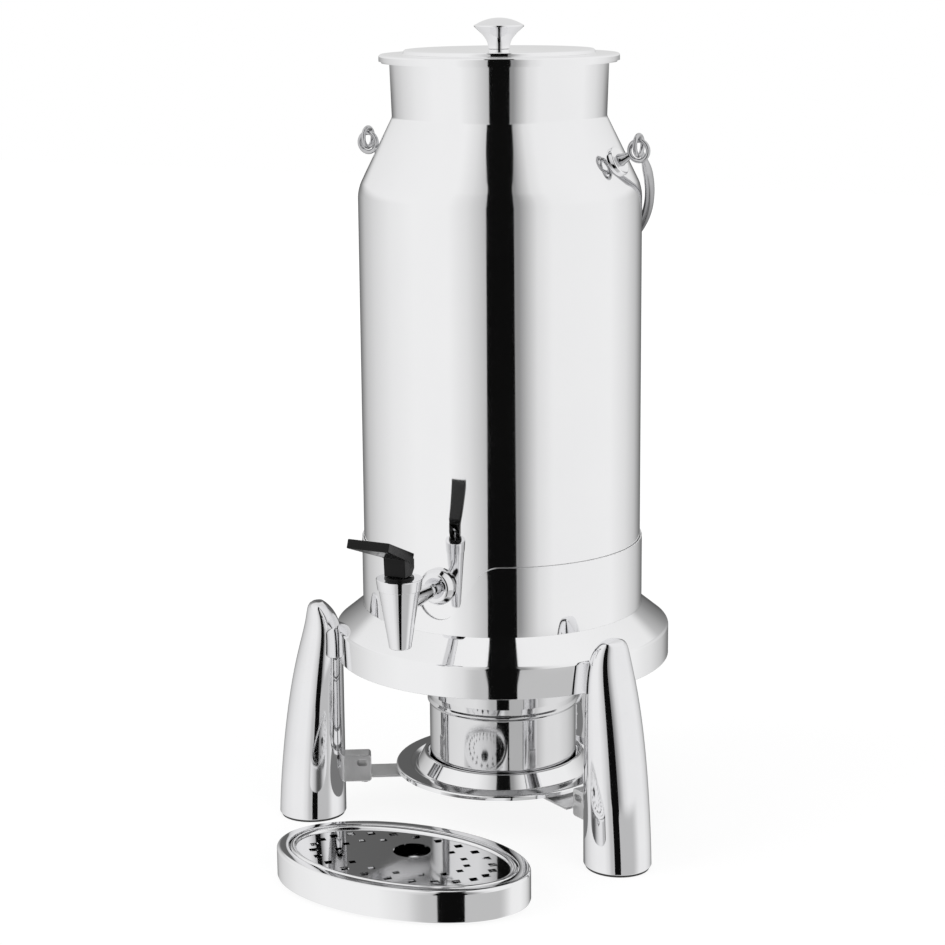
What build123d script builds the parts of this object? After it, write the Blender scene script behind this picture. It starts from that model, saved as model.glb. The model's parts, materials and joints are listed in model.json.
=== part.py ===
from build123d import *
from math import asin, atan2, cos, degrees, hypot, pi, radians, sin, tan
import os

# Hot water urn of the milk-can kind: a polished steel body with a tap, a lift-off lid and a
# swinging bail, standing in a three-legged ring over a fuel burner, with a loose drip tray.
# Millimetres. The pieces are drawn about the body's axis, with +Z up and the tap towards -Y, and
# leave with the origin at table height under the middle of what the whole urn covers.

os.makedirs("parts", exist_ok=True)

# ---------------------------------------------------------------- driving dimensions

# Clearances
rest_gap = 0.3          # between pieces that only rest on each other and lift apart
fit_gap = 0.05          # between pieces that are welded, screwed or pressed together
running_gap = 0.05      # round a pin in its hole

# Stand ring: skirt, sloping flange and the collar that the body drops into
ring_r = 121.2
ring_bottom_z = 122.0
ring_skirt_h = 22.5
ring_sheet = 1.8
ring_edge_round = 3.0
flange_rise = 16.0
collar_h = 49.5
collar_sheet = 1.2
collar_gap = 0.35       # between the body and the collar round it
seat_hole_r = 84.0
seat_sheet = 1.5
seat_lip_h = 6.0
seat_drop = 1.5         # the seat plate lies this far under the skirt's top edge

# Notch in the collar for the tap
notch_depth = 39.4
notch_top_half_w = 33.4
notch_bottom_half_w = 8.7
notch_bottom_round = 15.4
notch_top_round = 17.0

# Legs, cast and hollow from below
leg_count = 3
leg_names = ["right", "rear", "left"]
leg_first_angle = -30.0
leg_inset = 4.2         # of the leg's inner side under the ring's skirt
leg_h = 159.5           # above its rounded bottom edge
leg_base_depth = 49.0   # measured from the inner side outwards
leg_base_width = 46.5
leg_taper = (1.3, 0.33)         # how its depth closes in towards the tip
leg_side_taper = (2.0, 0.24)    # how its width does
leg_tip_shift = 14.0    # the tip stands this far out from the inner side
leg_tip_shift_power = 16
leg_steps = 12
leg_wall = 3.0
leg_bottom_round = 1.0
leg_hollow_top = 100.0
foot_pad_t = 1.5
foot_pad_inset = 1.4
foot_plug_h = 5.0
leg_screw_r = 2.5
leg_screw_spread = 16.0
leg_screw_reach = 14.0
leg_screw_head_r = 4.3
leg_screw_head_h = 4.0
leg_screw_above_ring = 10.0

# Brackets on the legs and the three-armed strap that carries the burner
bracket_depth = 19.0
bracket_width = 14.0
bracket_h = 20.5
bracket_bottom_z = 25.0
bracket_round = 2.2
bracket_slot_h = 5.0
bracket_slot_depth = 13.0
strap_w = 25.0
strap_t = 1.5
strap_above_bracket = 5.0
strap_hub_r = 34.0
strap_tongue_w = 10.0
strap_tongue_in = 10.0
bracket_screw_r = 1.5
bracket_screw_head_r = 3.0
bracket_screw_head_h = 1.8

# Burner: dish, cup, fuel can, cup lid and damper
dish_r = 79.2
dish_sheet = 1.0
dish_brim_h = 4.4
dish_brim_w = 9.5
dish_valley_w = 4.0
dish_edge_drop = 3.0
dish_bead_h = 13.2
dish_bead_w = 3.2
dish_bead_slope = 6.5
dish_screw_r = 2.0
dish_screw_head_r = 4.0
dish_screw_head_h = 1.6
cup_r = 54.0
cup_sheet = 1.0
cup_h = 69.0
cup_gap = 0.4           # between the cup and the dish's bead
cup_bead_z = 53.0       # above the cup's floor
cup_bead_out = 1.8
cup_bead_h = 4.2
cup_lip_out = 1.6
cup_lid_hole_r = 24.0
can_r = 42.0
can_h = 55.0
can_rim = 1.6
can_mouth_r = 17.0
damper_r = 29.0
damper_t = 1.0
damper_pivot_y = 39.0
damper_rivet_r = 2.0
damper_knob_r = 4.5
damper_knob_h = 7.0

# Body of the urn
body_r = 100.0
body_sheet = 1.2
body_wall_h = 317.5
shoulder_h = 49.7
shoulder_round = 24.0
neck_bottom_r = 75.3
neck_top_r = 76.7
neck_h = 40.7
neck_crease_round = 4.0
neck_seam_h = 6.0       # the neck is welded on this far above the crease
base_sheet = 2.0
base_flange_h = 9.0
rim_r = 82.2
rim_lip_h = 4.6
rim_sheet = 1.2

# Lid and knob
lid_sheet = 1.0
lid_side_gap = 0.8
lid_skirt_h = 5.2
lid_panel_r = 66.0
lid_panel_rise = 3.0
spigot_sheet = 1.0
spigot_h = 12.0
spigot_gap = 0.5
knob_stem_r = 7.7
knob_r = 17.5
knob_flare_h = 16.0
knob_h = 21.3
knob_screw_r = 2.5
knob_screw_head_r = 4.8
knob_screw_head_h = 2.6
knob_screw_in = 10.0

# Bail and the eyes that it hangs from
eye_below_neck = 29.0   # the eye's stud meets the shoulder this far under the neck's crease
eye_wire_r = 1.6
eye_mean_r = 6.9
eye_neck_r = 3.6
eye_stud_r = 2.5
eye_stud_in = 9.0
plate_r = 10.5
plate_t = 2.6
nut_t = 4.0
nut_across_r = 4.9
nut_bedding = 0.22      # the nut's corners meet the round wall first
link_gap = 0.45         # between the bail's loop and the eye's wire
bail_lean_angle = 48.0   # of the hanging bail from straight down
bail_rod_r = 3.4
bail_body_gap = 0.8     # between the hanging bail and the body
bail_side_gap = 2.07    # between the body and the bail's widest place, which is at the eyes
bail_taper_l = 30.0

# Tap
tap_reach = 157.0       # from the body's axis to the middle of the spout
tap_z = 194.6           # height of the shank
tap_bottom_z = 165.6
tap_cone_h = 40.8
tap_bottom_r = 7.5
tap_top_r = 14.0
tap_wall = 2.0
outlet_r = 4.2
outlet_h = 5.0
collar_nut_h = 7.9
collar_nut_bottom_r = 14.7
collar_nut_top_r = 15.8
collar_nut_lip = 1.6
bonnet_r = 10.0
bonnet_proud = 1.4
shank_body_r = 5.0
shank_cone_r = 7.0
shank_bore_r = 3.4
shank_in = 13.0
escutcheon_r = 13.0
escutcheon_t = 7.0
seal_r = 9.0
seal_t = 2.0
tap_nut_r = 9.5
tap_nut_t = 6.0
stem_r = 2.0
stem_head_r = 3.3
stem_head_t = 5.0
seat_cup_r = 5.4
seat_cup_h = 7.0
spring_r = 4.0
spring_wire_r = 0.5
spring_turns = 7

# Tap lever, whose hub rocks on the bonnet and lifts the stem
lever_slope = 21.25
lever_l = 51.5
lever_tip_w = 31.0
lever_hub_w = 16.0
lever_t = 6.3
lever_round = 1.2
hub_back = 7.0          # from the stem's axis to the back of the hub
hub_heel = 6.5          # from the stem's axis to the edge that it rocks on
hub_front_wall = 1.5    # in front of the slot for the stem
hub_gap = 0.45
lever_pin_above = 6.7   # over the bonnet's top face
lever_pin_r = 1.25
lever_back_rise = 14.7  # the top back edge of the lever, over the bonnet's top face

# Drip tray
tray_x = 6.0            # of the tray's middle, which stands a little off the tap's line
tray_y = -170.0
tray_a = 93.0           # half length, along X
tray_b = 58.0           # half width, along Y
tray_h = 23.6
tray_wall = 1.6
tray_rim_w = 8.5
tray_edge_round = 2.6
tray_floor_z = 1.5
tray_floor_t = 1.4
tray_ledge_w = 3.5
tray_ledge_t = 1.5
strainer_gap = 0.6
strainer_sheet = 1.2
strainer_bead_w = 4.6
strainer_bead_h = 3.4
finger_hole_r = 13.0
finger_hole_y = 14.0    # from the tray's middle towards the urn
foot_r = 5.0
foot_count = 4
strainer_rows = [(0.84, 24, 6.4), (0.60, 16, 5.2)]   # share of the plate, holes, their size


# ---------------------------------------------------------------- places worked out from them

ring_top_z = ring_bottom_z + ring_skirt_h
collar_foot_z = ring_top_z + flange_rise
collar_top_z = collar_foot_z + collar_h
collar_in_r = body_r + collar_gap
collar_out_r = collar_in_r + collar_sheet
ring_in_r = ring_r - ring_sheet
leg_inner_r = ring_r - leg_inset
seat_top_z = ring_top_z - seat_drop
body_bottom_z = seat_top_z + rest_gap
shoulder_z = body_bottom_z + body_wall_h
crease_z = shoulder_z + shoulder_h
neck_top_z = crease_z + neck_h
rim_top_z = neck_top_z + fit_gap + rim_sheet
leg_angles = [leg_first_angle + 360.0 / leg_count * step for step in range(leg_count)]

# From the tray's front edge to the back of the rear leg's foot, the middle is at the origin
over_footprint = Location((0, (tray_b - tray_y - leg_inner_r - leg_base_depth) / 2, 0))


def circles_at(piece, height, radius):
    """The round edges of a turned piece at one height and radius."""
    return [edge for edge in piece.edges().filter_by(GeomType.CIRCLE)
            if abs(edge.radius - radius) < 0.01 and abs(edge.center().Z - height) < 0.01]


def turned(angle):
    """The place of a piece that is made at +X and belongs at this angle round the axis."""
    return Location((0, 0, 0), (0, 0, angle))


# ================================================================ STAND

# ---- stand ring
flange_slope = atan2(flange_rise, ring_r - collar_out_r)
flange_drop = ring_sheet / cos(flange_slope)


def flange_z(radius):
    """Height of the flange's upper face."""
    return ring_top_z + (ring_r - radius) * tan(flange_slope)


def leg_plane(angle):
    """Upright plane through the axis that faces out along a leg."""
    return Plane(origin=(0, 0, 0), x_dir=(-sin(radians(angle)), cos(radians(angle)), 0),
                 z_dir=(cos(radians(angle)), sin(radians(angle)), 0))


notch_bottom_z = collar_top_z - notch_depth
notch_side = ring_r
leg_screw_z = ring_bottom_z + leg_screw_above_ring
screw_spots = [(-leg_screw_spread / 2, leg_screw_z), (leg_screw_spread / 2, leg_screw_z)]

flange_in_r = collar_out_r + fit_gap

with BuildPart() as stand_ring:
    with BuildSketch(Plane.XZ):
        with BuildLine():
            Polyline((ring_r, ring_bottom_z), (ring_r, ring_top_z), (flange_in_r, flange_z(flange_in_r)),
                     (flange_in_r, flange_z(flange_in_r) - flange_drop),
                     (ring_in_r, flange_z(ring_in_r) - flange_drop),
                     (ring_in_r, ring_bottom_z), close=True)
        make_face()
    revolve(axis=Axis.Z)
    fillet(circles_at(stand_ring.part, ring_top_z, ring_r), ring_edge_round)
    for angle in leg_angles:
        with BuildSketch(leg_plane(angle).offset(ring_in_r - 2 * ring_sheet)):
            with Locations(*screw_spots):
                Circle(leg_screw_r + fit_gap)
        extrude(amount=4 * ring_sheet, mode=Mode.SUBTRACT)
stand_ring.part.label = "stand_ring"
export_step(stand_ring.part.moved(over_footprint), "parts/stand_ring.step")

# ---- collar, a rolled sleeve welded into the flange and notched for the tap
with BuildPart() as stand_collar:
    with BuildSketch(Plane.XY.offset(flange_z(flange_in_r) - flange_drop)):
        Circle(collar_out_r)
        Circle(collar_in_r, mode=Mode.SUBTRACT)
    extrude(amount=collar_top_z - flange_z(flange_in_r) + flange_drop)
    with BuildSketch(Plane.XZ.offset(collar_in_r * cos(radians(40)))):
        with BuildLine():
            FilletPolyline((-notch_side, collar_top_z), (-notch_top_half_w, collar_top_z),
                           (-notch_bottom_half_w, notch_bottom_z),
                           (notch_bottom_half_w, notch_bottom_z),
                           (notch_top_half_w, collar_top_z), (notch_side, collar_top_z),
                           radius=[notch_top_round, notch_bottom_round,
                                   notch_bottom_round, notch_top_round])
            Polyline((notch_side, collar_top_z), (notch_side, collar_top_z + notch_depth),
                     (-notch_side, collar_top_z + notch_depth), (-notch_side, collar_top_z))
        make_face()
    extrude(amount=ring_r, mode=Mode.SUBTRACT)
stand_collar.part.label = "stand_collar"
export_step(stand_collar.part.moved(over_footprint), "parts/stand_collar.step")

# ---- seat plate that the body stands on, with the flame hole in its middle
seat_out_r = ring_in_r - fit_gap
with BuildPart() as urn_seat:
    with BuildSketch(Plane.XZ):
        with BuildLine():
            Polyline((seat_hole_r, seat_top_z - seat_lip_h), (seat_hole_r, seat_top_z),
                     (seat_out_r, seat_top_z), (seat_out_r, seat_top_z - seat_lip_h),
                     (seat_out_r - seat_sheet, seat_top_z - seat_lip_h),
                     (seat_out_r - seat_sheet, seat_top_z - seat_sheet),
                     (seat_hole_r + seat_sheet, seat_top_z - seat_sheet),
                     (seat_hole_r + seat_sheet, seat_top_z - seat_lip_h), close=True)
        make_face()
    revolve(axis=Axis.Z)
urn_seat.part.label = "urn_seat"
export_step(urn_seat.part.moved(over_footprint), "parts/urn_seat.step")

# ---- legs
leg_foot_z = foot_pad_t
leg_shoulder_z = leg_foot_z + leg_bottom_round


def leg_section(share, shrink):
    """Height, middle radius, half depth and half width of the leg at a share of its height."""
    half_depth = leg_base_depth / 2 * (1 - share ** leg_taper[0]) ** leg_taper[1]
    half_width = leg_base_width / 2 * (1 - share ** leg_side_taper[0]) ** leg_side_taper[1]
    middle = leg_inner_r + half_depth + leg_tip_shift * share ** leg_tip_shift_power
    return (leg_shoulder_z + leg_h * share, middle, half_depth - shrink, half_width - shrink)


def leg_sections(last_step, shrink):
    """Sections that stand closer together towards the tip."""
    steps = list(range(leg_steps)) + [leg_steps - 0.35]
    return [leg_section(sin(pi / 2 * step / leg_steps), shrink) for step in steps if step <= last_step]


with BuildPart() as leg_outside:
    for height, middle, half_depth, half_width in leg_sections(leg_steps, 0.0):
        with BuildSketch(Plane.XY.offset(height)):
            with Locations((middle, 0)):
                Ellipse(half_depth, half_width)
    loft(ruled=True)
    for height, shrink in [(leg_foot_z, leg_bottom_round), (leg_shoulder_z, 0.0)]:
        with BuildSketch(Plane.XY.offset(height)):
            with Locations((leg_inner_r + leg_base_depth / 2, 0)):
                Ellipse(leg_base_depth / 2 - shrink, leg_base_width / 2 - shrink)
    loft()

with BuildPart() as leg_hollow:
    for height, middle, half_depth, half_width in leg_sections(leg_steps / 2, leg_wall):
        with BuildSketch(Plane.XY.offset(height)):
            with Locations((middle, 0)):
                Ellipse(half_depth, half_width)
    loft(ruled=True)
    with BuildSketch(Plane.XY.offset(leg_foot_z)):
        with Locations((leg_inner_r + leg_base_depth / 2, 0)):
            Ellipse(leg_base_depth / 2 - leg_wall, leg_base_width / 2 - leg_wall)
    extrude(amount=leg_bottom_round)
    with BuildSketch(Plane.XY.offset(leg_foot_z + leg_hollow_top)):
        Rectangle(4 * ring_r, 4 * ring_r)
    extrude(amount=leg_h, mode=Mode.SUBTRACT)

# What the leg makes room for: the ring's skirt, flange and collar
with BuildPart() as ring_room:
    with BuildSketch(Plane.XZ):
        with BuildLine():
            Polyline((0, ring_bottom_z - fit_gap), (ring_r + fit_gap, ring_bottom_z - fit_gap),
                     (ring_r + fit_gap, ring_top_z), (collar_out_r + fit_gap, collar_foot_z),
                     (collar_out_r + fit_gap, collar_top_z), (0, collar_top_z), close=True)
        make_face()
    revolve(axis=Axis.Z)

with BuildPart() as leg_pattern:
    add(leg_outside.part)
    add(leg_hollow.part, mode=Mode.SUBTRACT)
    add(ring_room.part, mode=Mode.SUBTRACT)
    with BuildSketch(Plane.YZ.offset(ring_in_r)):
        with Locations(*screw_spots):
            Circle(leg_screw_r + fit_gap)
    extrude(amount=leg_screw_reach + ring_sheet + leg_screw_r, mode=Mode.SUBTRACT)

# Rubber pad that closes the leg's hollow foot
with BuildPart() as foot_pattern:
    pad_middle = leg_inner_r + leg_base_depth / 2
    with BuildSketch(Plane.XY):
        with Locations((pad_middle, 0)):
            Ellipse(leg_base_depth / 2 - foot_pad_inset, leg_base_width / 2 - foot_pad_inset)
    extrude(amount=foot_pad_t)
    plug_shrink = leg_wall + 2 * foot_pad_t
    with BuildSketch(Plane.XY.offset(foot_pad_t)):
        with Locations((pad_middle, 0)):
            Ellipse(leg_base_depth / 2 - plug_shrink, leg_base_width / 2 - plug_shrink)
    extrude(amount=foot_plug_h)

# Bracket on the leg's inner side, slotted for the burner strap
strap_z = bracket_bottom_z + strap_above_bracket
bracket_in_r = leg_inner_r - bracket_depth
bracket_top_z = bracket_bottom_z + bracket_h
bracket_web = (bracket_h - 2 * bracket_slot_h) / 3
upper_slot_z = bracket_top_z - bracket_web - bracket_slot_h

with BuildPart() as bracket_pattern:
    with BuildSketch(Plane.XZ.offset(-bracket_width / 2)):
        with Locations((leg_inner_r - bracket_depth / 2 + bracket_round, bracket_bottom_z + bracket_h / 2)):
            Rectangle(bracket_depth + 2 * bracket_round, bracket_h)
    extrude(amount=bracket_width)
    fillet(bracket_pattern.edges().filter_by(Axis.Y), bracket_round)
    fillet(bracket_pattern.faces().sort_by(Axis.X)[0].edges(), bracket_round / 3)
    add(leg_outside.part, mode=Mode.SUBTRACT)
    # the lower slot takes the strap's tongue, the upper one is the clamp's saw cut
    with BuildSketch(Plane.XZ.offset(-bracket_width)):
        with Locations((bracket_in_r + bracket_slot_depth / 2, upper_slot_z + bracket_slot_h / 2)):
            RectangleRounded(bracket_slot_depth - 2 * bracket_round, bracket_slot_h, bracket_slot_h / 2.2)
    extrude(amount=2 * bracket_width, mode=Mode.SUBTRACT)
    with BuildSketch(Plane.XY.offset(strap_z - fit_gap)):
        with Locations((bracket_in_r + strap_tongue_in / 2, 0)):
            Rectangle(strap_tongue_in + 2 * fit_gap, strap_tongue_w + 2 * fit_gap)
    extrude(amount=strap_t + 2 * fit_gap, mode=Mode.SUBTRACT)
    with BuildSketch(Plane.XY.offset(bracket_bottom_z - bracket_h)):
        with Locations((bracket_in_r + strap_tongue_in / 2, 0)):
            Circle(bracket_screw_r + fit_gap)
    extrude(amount=bracket_h + strap_above_bracket, mode=Mode.SUBTRACT)

for name, angle in zip(leg_names, leg_angles):
    with BuildPart() as leg:
        with Locations(turned(angle)):
            add(leg_pattern.part)
    leg.part.label = f"leg_{name}"
    export_step(leg.part.moved(over_footprint), f"parts/leg_{name}.step")

    with BuildPart() as foot_pad:
        with Locations(turned(angle)):
            add(foot_pattern.part)
    foot_pad.part.label = f"foot_pad_{name}"
    export_step(foot_pad.part.moved(over_footprint), f"parts/foot_pad_{name}.step")

    with BuildPart() as bracket:
        with Locations(turned(angle)):
            add(bracket_pattern.part)
    bracket.part.label = f"leg_bracket_{name}"
    export_step(bracket.part.moved(over_footprint), f"parts/leg_bracket_{name}.step")

# ---- screws from inside the ring into the legs
# the heads' rims meet the round skirt, so they seat a little inside it
head_rim = leg_screw_spread / 2 + leg_screw_head_r
head_seat_r = ring_in_r * cos(asin(head_rim / ring_in_r)) - fit_gap
with BuildPart() as leg_screws:
    for angle in leg_angles:
        with BuildSketch(leg_plane(angle).offset(head_seat_r)):
            with Locations(*screw_spots):
                Circle(leg_screw_r)
        extrude(amount=leg_screw_reach + ring_sheet)
        with BuildSketch(leg_plane(angle).offset(head_seat_r)):
            with Locations(*screw_spots):
                Circle(leg_screw_head_r)
        extrude(amount=-leg_screw_head_h)
leg_screws.part.label = "leg_screws"
export_step(leg_screws.part.moved(over_footprint), "parts/leg_screws.step")

# ---- three-armed strap under the burner
strap_end_r = bracket_in_r + strap_tongue_in - fit_gap
with BuildPart() as burner_strap:
    with BuildSketch(Plane.XY.offset(strap_z)):
        Circle(strap_hub_r)
        for angle in leg_angles:
            with Locations(turned(angle)):
                with Locations((bracket_in_r / 2, 0)):
                    Rectangle(bracket_in_r - 2 * fit_gap, strap_w)
                with Locations((strap_end_r / 2, 0)):
                    Rectangle(strap_end_r, strap_tongue_w)
        Circle(dish_screw_r + fit_gap, mode=Mode.SUBTRACT)
    extrude(amount=strap_t)
    for angle in leg_angles:
        with BuildSketch(Plane.XY.offset(strap_z)):
            with Locations(turned(angle)):
                with Locations((bracket_in_r + strap_tongue_in / 2, 0)):
                    Circle(bracket_screw_r + fit_gap)
        extrude(amount=strap_t, mode=Mode.SUBTRACT)
burner_strap.part.label = "burner_strap"
export_step(burner_strap.part.moved(over_footprint), "parts/burner_strap.step")

# ---- screws up through the brackets into the strap's tongues
with BuildPart() as bracket_screws:
    for angle in leg_angles:
        with BuildSketch(Plane.XY.offset(bracket_bottom_z - bracket_screw_head_h - fit_gap)):
            with Locations(turned(angle)):
                with Locations((bracket_in_r + strap_tongue_in / 2, 0)):
                    Circle(bracket_screw_head_r)
        extrude(amount=bracket_screw_head_h)
        with BuildSketch(Plane.XY.offset(bracket_bottom_z - fit_gap)):
            with Locations(turned(angle)):
                with Locations((bracket_in_r + strap_tongue_in / 2, 0)):
                    Circle(bracket_screw_r)
        extrude(amount=strap_above_bracket + strap_t)
bracket_screws.part.label = "bracket_screws"
export_step(bracket_screws.part.moved(over_footprint), "parts/bracket_screws.step")

# ---- burner dish, a pressed sheet with a wide brim and a raised bead round the cup
dish_floor_z = strap_z + strap_t + dish_sheet / 2 + fit_gap
bead_in_r = cup_r + cup_gap + dish_sheet / 2
bead_out_r = bead_in_r + dish_bead_w
valley_r = bead_out_r + dish_bead_slope
brim_r = dish_r - dish_sheet / 2
with BuildPart() as burner_dish:
    with BuildSketch(Plane.XZ):
        with BuildLine():
            FilletPolyline((0, dish_floor_z), (bead_in_r, dish_floor_z),
                           (bead_in_r, dish_floor_z + dish_bead_h),
                           (bead_out_r, dish_floor_z + dish_bead_h),
                           (valley_r, dish_floor_z + dish_brim_h / 2),
                           (valley_r + dish_valley_w, dish_floor_z + dish_brim_h),
                           (brim_r, dish_floor_z + dish_brim_h),
                           (brim_r, dish_floor_z + dish_brim_h - dish_edge_drop),
                           radius=dish_sheet)
        trace(line_width=dish_sheet)
    revolve(axis=Axis.Z)
    with BuildSketch(Plane.XY.offset(strap_z)):
        Circle(dish_screw_r + fit_gap)
    extrude(amount=dish_brim_h, mode=Mode.SUBTRACT)
burner_dish.part.label = "burner_dish"
export_step(burner_dish.part.moved(over_footprint), "parts/burner_dish.step")

# ---- screw that holds the dish to the strap, with its head under the strap
dish_top_z = dish_floor_z + dish_sheet / 2
with BuildPart() as dish_screw:
    with BuildSketch(Plane.XY.offset(strap_z - dish_screw_head_h - fit_gap)):
        Circle(dish_screw_head_r)
    extrude(amount=dish_screw_head_h)
    with BuildSketch(Plane.XY.offset(strap_z - fit_gap)):
        Circle(dish_screw_r)
    extrude(amount=dish_top_z - strap_z)
dish_screw.part.label = "dish_screw"
export_step(dish_screw.part.moved(over_footprint), "parts/dish_screw.step")

# ================================================================ BURNER

cup_floor_z = dish_top_z + rest_gap + cup_sheet / 2
cup_mid_r = cup_r - cup_sheet / 2
cup_top_z = cup_floor_z + cup_h
bead_z = cup_floor_z + cup_bead_z
with BuildPart() as burner_cup:
    with BuildSketch(Plane.XZ):
        with BuildLine():
            FilletPolyline((0, cup_floor_z), (cup_mid_r, cup_floor_z), (cup_mid_r, bead_z - cup_bead_h / 2),
                           (cup_mid_r + cup_bead_out, bead_z),
                           (cup_mid_r + cup_bead_out / 3, bead_z + cup_bead_h / 2),
                           (cup_mid_r + cup_lip_out, bead_z + 1.6 * cup_bead_h),
                           (cup_mid_r + cup_lip_out, cup_top_z), radius=cup_sheet * 0.9)
        trace(line_width=cup_sheet)
    revolve(axis=Axis.Z)
burner_cup.part.label = "burner_cup"
export_step(burner_cup.part.moved(over_footprint), "parts/burner_cup.step")

# ---- can of gelled fuel
can_z = cup_floor_z + cup_sheet / 2 + rest_gap
with BuildPart() as fuel_can:
    with BuildSketch(Plane.XZ):
        with BuildLine():
            Polyline((0, can_z + can_rim), (can_r - can_rim, can_z + can_rim), (can_r - can_rim, can_z),
                     (can_r, can_z), (can_r, can_z + can_h), (can_r - can_rim, can_z + can_h),
                     (can_r - can_rim, can_z + can_h - can_rim), (can_mouth_r, can_z + can_h - can_rim),
                     (can_mouth_r, can_z + can_h - 4 * can_rim), (0, can_z + can_h - 4 * can_rim),
                     close=True)
        make_face()
    revolve(axis=Axis.Z)
    fillet(circles_at(fuel_can.part, can_z, can_r), can_rim / 3)
    fillet(circles_at(fuel_can.part, can_z + can_h, can_r), can_rim / 3)
fuel_can.part.label = "fuel_can"
export_step(fuel_can.part.moved(over_footprint), "parts/fuel_can.step")

# ---- ring-shaped lid on the cup
lip_in_r = cup_mid_r + cup_lip_out - cup_sheet / 2
cup_lid_z = cup_top_z + cup_sheet / 2 + fit_gap
with BuildPart() as cup_lid:
    with BuildSketch(Plane.XZ):
        with BuildLine():
            FilletPolyline((cup_lid_hole_r, cup_lid_z - 4 * cup_sheet), (cup_lid_hole_r, cup_lid_z),
                           (lip_in_r + cup_sheet, cup_lid_z), radius=cup_sheet * 0.9)
        trace(line_width=cup_sheet)
        with BuildLine():
            Line((lip_in_r - cup_sheet / 2 - fit_gap, cup_lid_z),
                 (lip_in_r - cup_sheet / 2 - fit_gap, cup_lid_z - 4 * cup_sheet))
        trace(line_width=cup_sheet)
    revolve(axis=Axis.Z)
    with BuildSketch(Plane.XY.offset(cup_lid_z - cup_sheet)):
        with Locations((0, damper_pivot_y)):
            Circle(damper_rivet_r + fit_gap)
    extrude(amount=2 * cup_sheet, mode=Mode.SUBTRACT)
cup_lid.part.label = "cup_lid"
export_step(cup_lid.part.moved(over_footprint), "parts/cup_lid.step")

# ---- damper that swings over the cup's mouth, and its rivet
damper_z = cup_lid_z + cup_sheet / 2 + rest_gap
with BuildPart() as damper:
    with BuildSketch(Plane.XY.offset(damper_z)):
        Circle(damper_r)
        with Locations((0, damper_pivot_y / 2)):
            Rectangle(damper_r, damper_pivot_y)
        with Locations((0, damper_pivot_y)):
            Circle(damper_r / 2)
            Circle(damper_rivet_r + running_gap, mode=Mode.SUBTRACT)
    extrude(amount=damper_t)
    with BuildSketch(Plane.XZ):
        with BuildLine():
            Polyline((0, damper_z), (damper_knob_r * 0.6, damper_z),
                     (damper_knob_r * 0.6, damper_z + damper_t + damper_knob_h / 3),
                     (damper_knob_r, damper_z + damper_t + damper_knob_h * 0.6),
                     (damper_knob_r * 0.8, damper_z + damper_t + damper_knob_h),
                     (0, damper_z + damper_t + damper_knob_h), close=True)
        make_face()
    revolve(axis=Axis.Z)
damper.part.label = "damper"
export_step(damper.part.moved(over_footprint), "parts/damper.step")

with BuildPart() as damper_rivet:
    with BuildSketch(Plane.XY.offset(cup_lid_z - cup_sheet / 2 - fit_gap)):
        with Locations((0, damper_pivot_y)):
            Circle(damper_rivet_r * 1.8)
    extrude(amount=-damper_t)
    with BuildSketch(Plane.XY.offset(cup_lid_z - cup_sheet / 2 - fit_gap)):
        with Locations((0, damper_pivot_y)):
            Circle(damper_rivet_r)
    extrude(amount=damper_z + damper_t + rest_gap - (cup_lid_z - cup_sheet / 2 - fit_gap))
    with BuildSketch(Plane.XY.offset(damper_z + damper_t + rest_gap)):
        with Locations((0, damper_pivot_y)):
            Circle(damper_rivet_r * 1.8)
    extrude(amount=damper_t)
damper_rivet.part.label = "damper_rivet"
export_step(damper_rivet.part.moved(over_footprint), "parts/damper_rivet.step")

# ================================================================ BODY OF THE URN

wall_mid_r = body_r - body_sheet / 2
neck_mid_bottom_r = neck_bottom_r - body_sheet / 2
neck_mid_top_r = neck_top_r - body_sheet / 2
shoulder_tilt = atan2(body_r - neck_bottom_r, shoulder_h)   # of the shoulder from upright
corner_shift = body_sheet / 2 * tan(shoulder_tilt / 2)      # of the sheet's middle line at a corner


def shoulder_r(height):
    """Outer radius of the sloping shoulder at a height."""
    return neck_bottom_r + (crease_z - height) * tan(shoulder_tilt)


eye_root_z = crease_z - eye_below_neck
eye_root_r = shoulder_r(eye_root_z)


def stud_plane(side):
    """On the shoulder's surface where an eye's stud leaves it; its normal is the stud's axis."""
    return Plane(origin=(side * eye_root_r, 0, eye_root_z), x_dir=(0, 1, 0),
                 z_dir=(side * cos(shoulder_tilt), 0, sin(shoulder_tilt)))


def neck_mid_r(height):
    """Radius of the slightly flared neck's middle line at a height."""
    return neck_mid_bottom_r + (neck_mid_top_r - neck_mid_bottom_r) * (height - crease_z) / neck_h


seam_z = crease_z + neck_seam_h
with BuildPart() as urn_shell:
    with BuildSketch(Plane.XZ):
        with BuildLine():
            FilletPolyline((wall_mid_r, body_bottom_z), (wall_mid_r, shoulder_z - corner_shift),
                           (neck_mid_bottom_r, crease_z - corner_shift), (neck_mid_r(seam_z), seam_z),
                           radius=[shoulder_round, neck_crease_round])
        trace(line_width=body_sheet)
    revolve(axis=Axis.Z)
    for side in (-1, 1):
        with BuildSketch(stud_plane(side).offset(-4 * body_sheet)):
            Circle(eye_stud_r + fit_gap)
        extrude(amount=8 * body_sheet, mode=Mode.SUBTRACT)
    with BuildSketch(Plane.XZ.offset(body_r - 3 * body_sheet)):
        with Locations((0, tap_z)):
            Circle(shank_body_r + fit_gap)
    extrude(amount=6 * body_sheet, mode=Mode.SUBTRACT)
urn_shell.part.label = "urn_shell"
export_step(urn_shell.part.moved(over_footprint), "parts/urn_shell.step")

with BuildPart() as urn_neck:
    with BuildSketch(Plane.XZ):
        with BuildLine():
            Line((neck_mid_r(seam_z), seam_z + 2 * fit_gap), (neck_mid_top_r, neck_top_z))
        trace(line_width=body_sheet)
    revolve(axis=Axis.Z)
urn_neck.part.label = "urn_neck"
export_step(urn_neck.part.moved(over_footprint), "parts/urn_neck.step")

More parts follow.
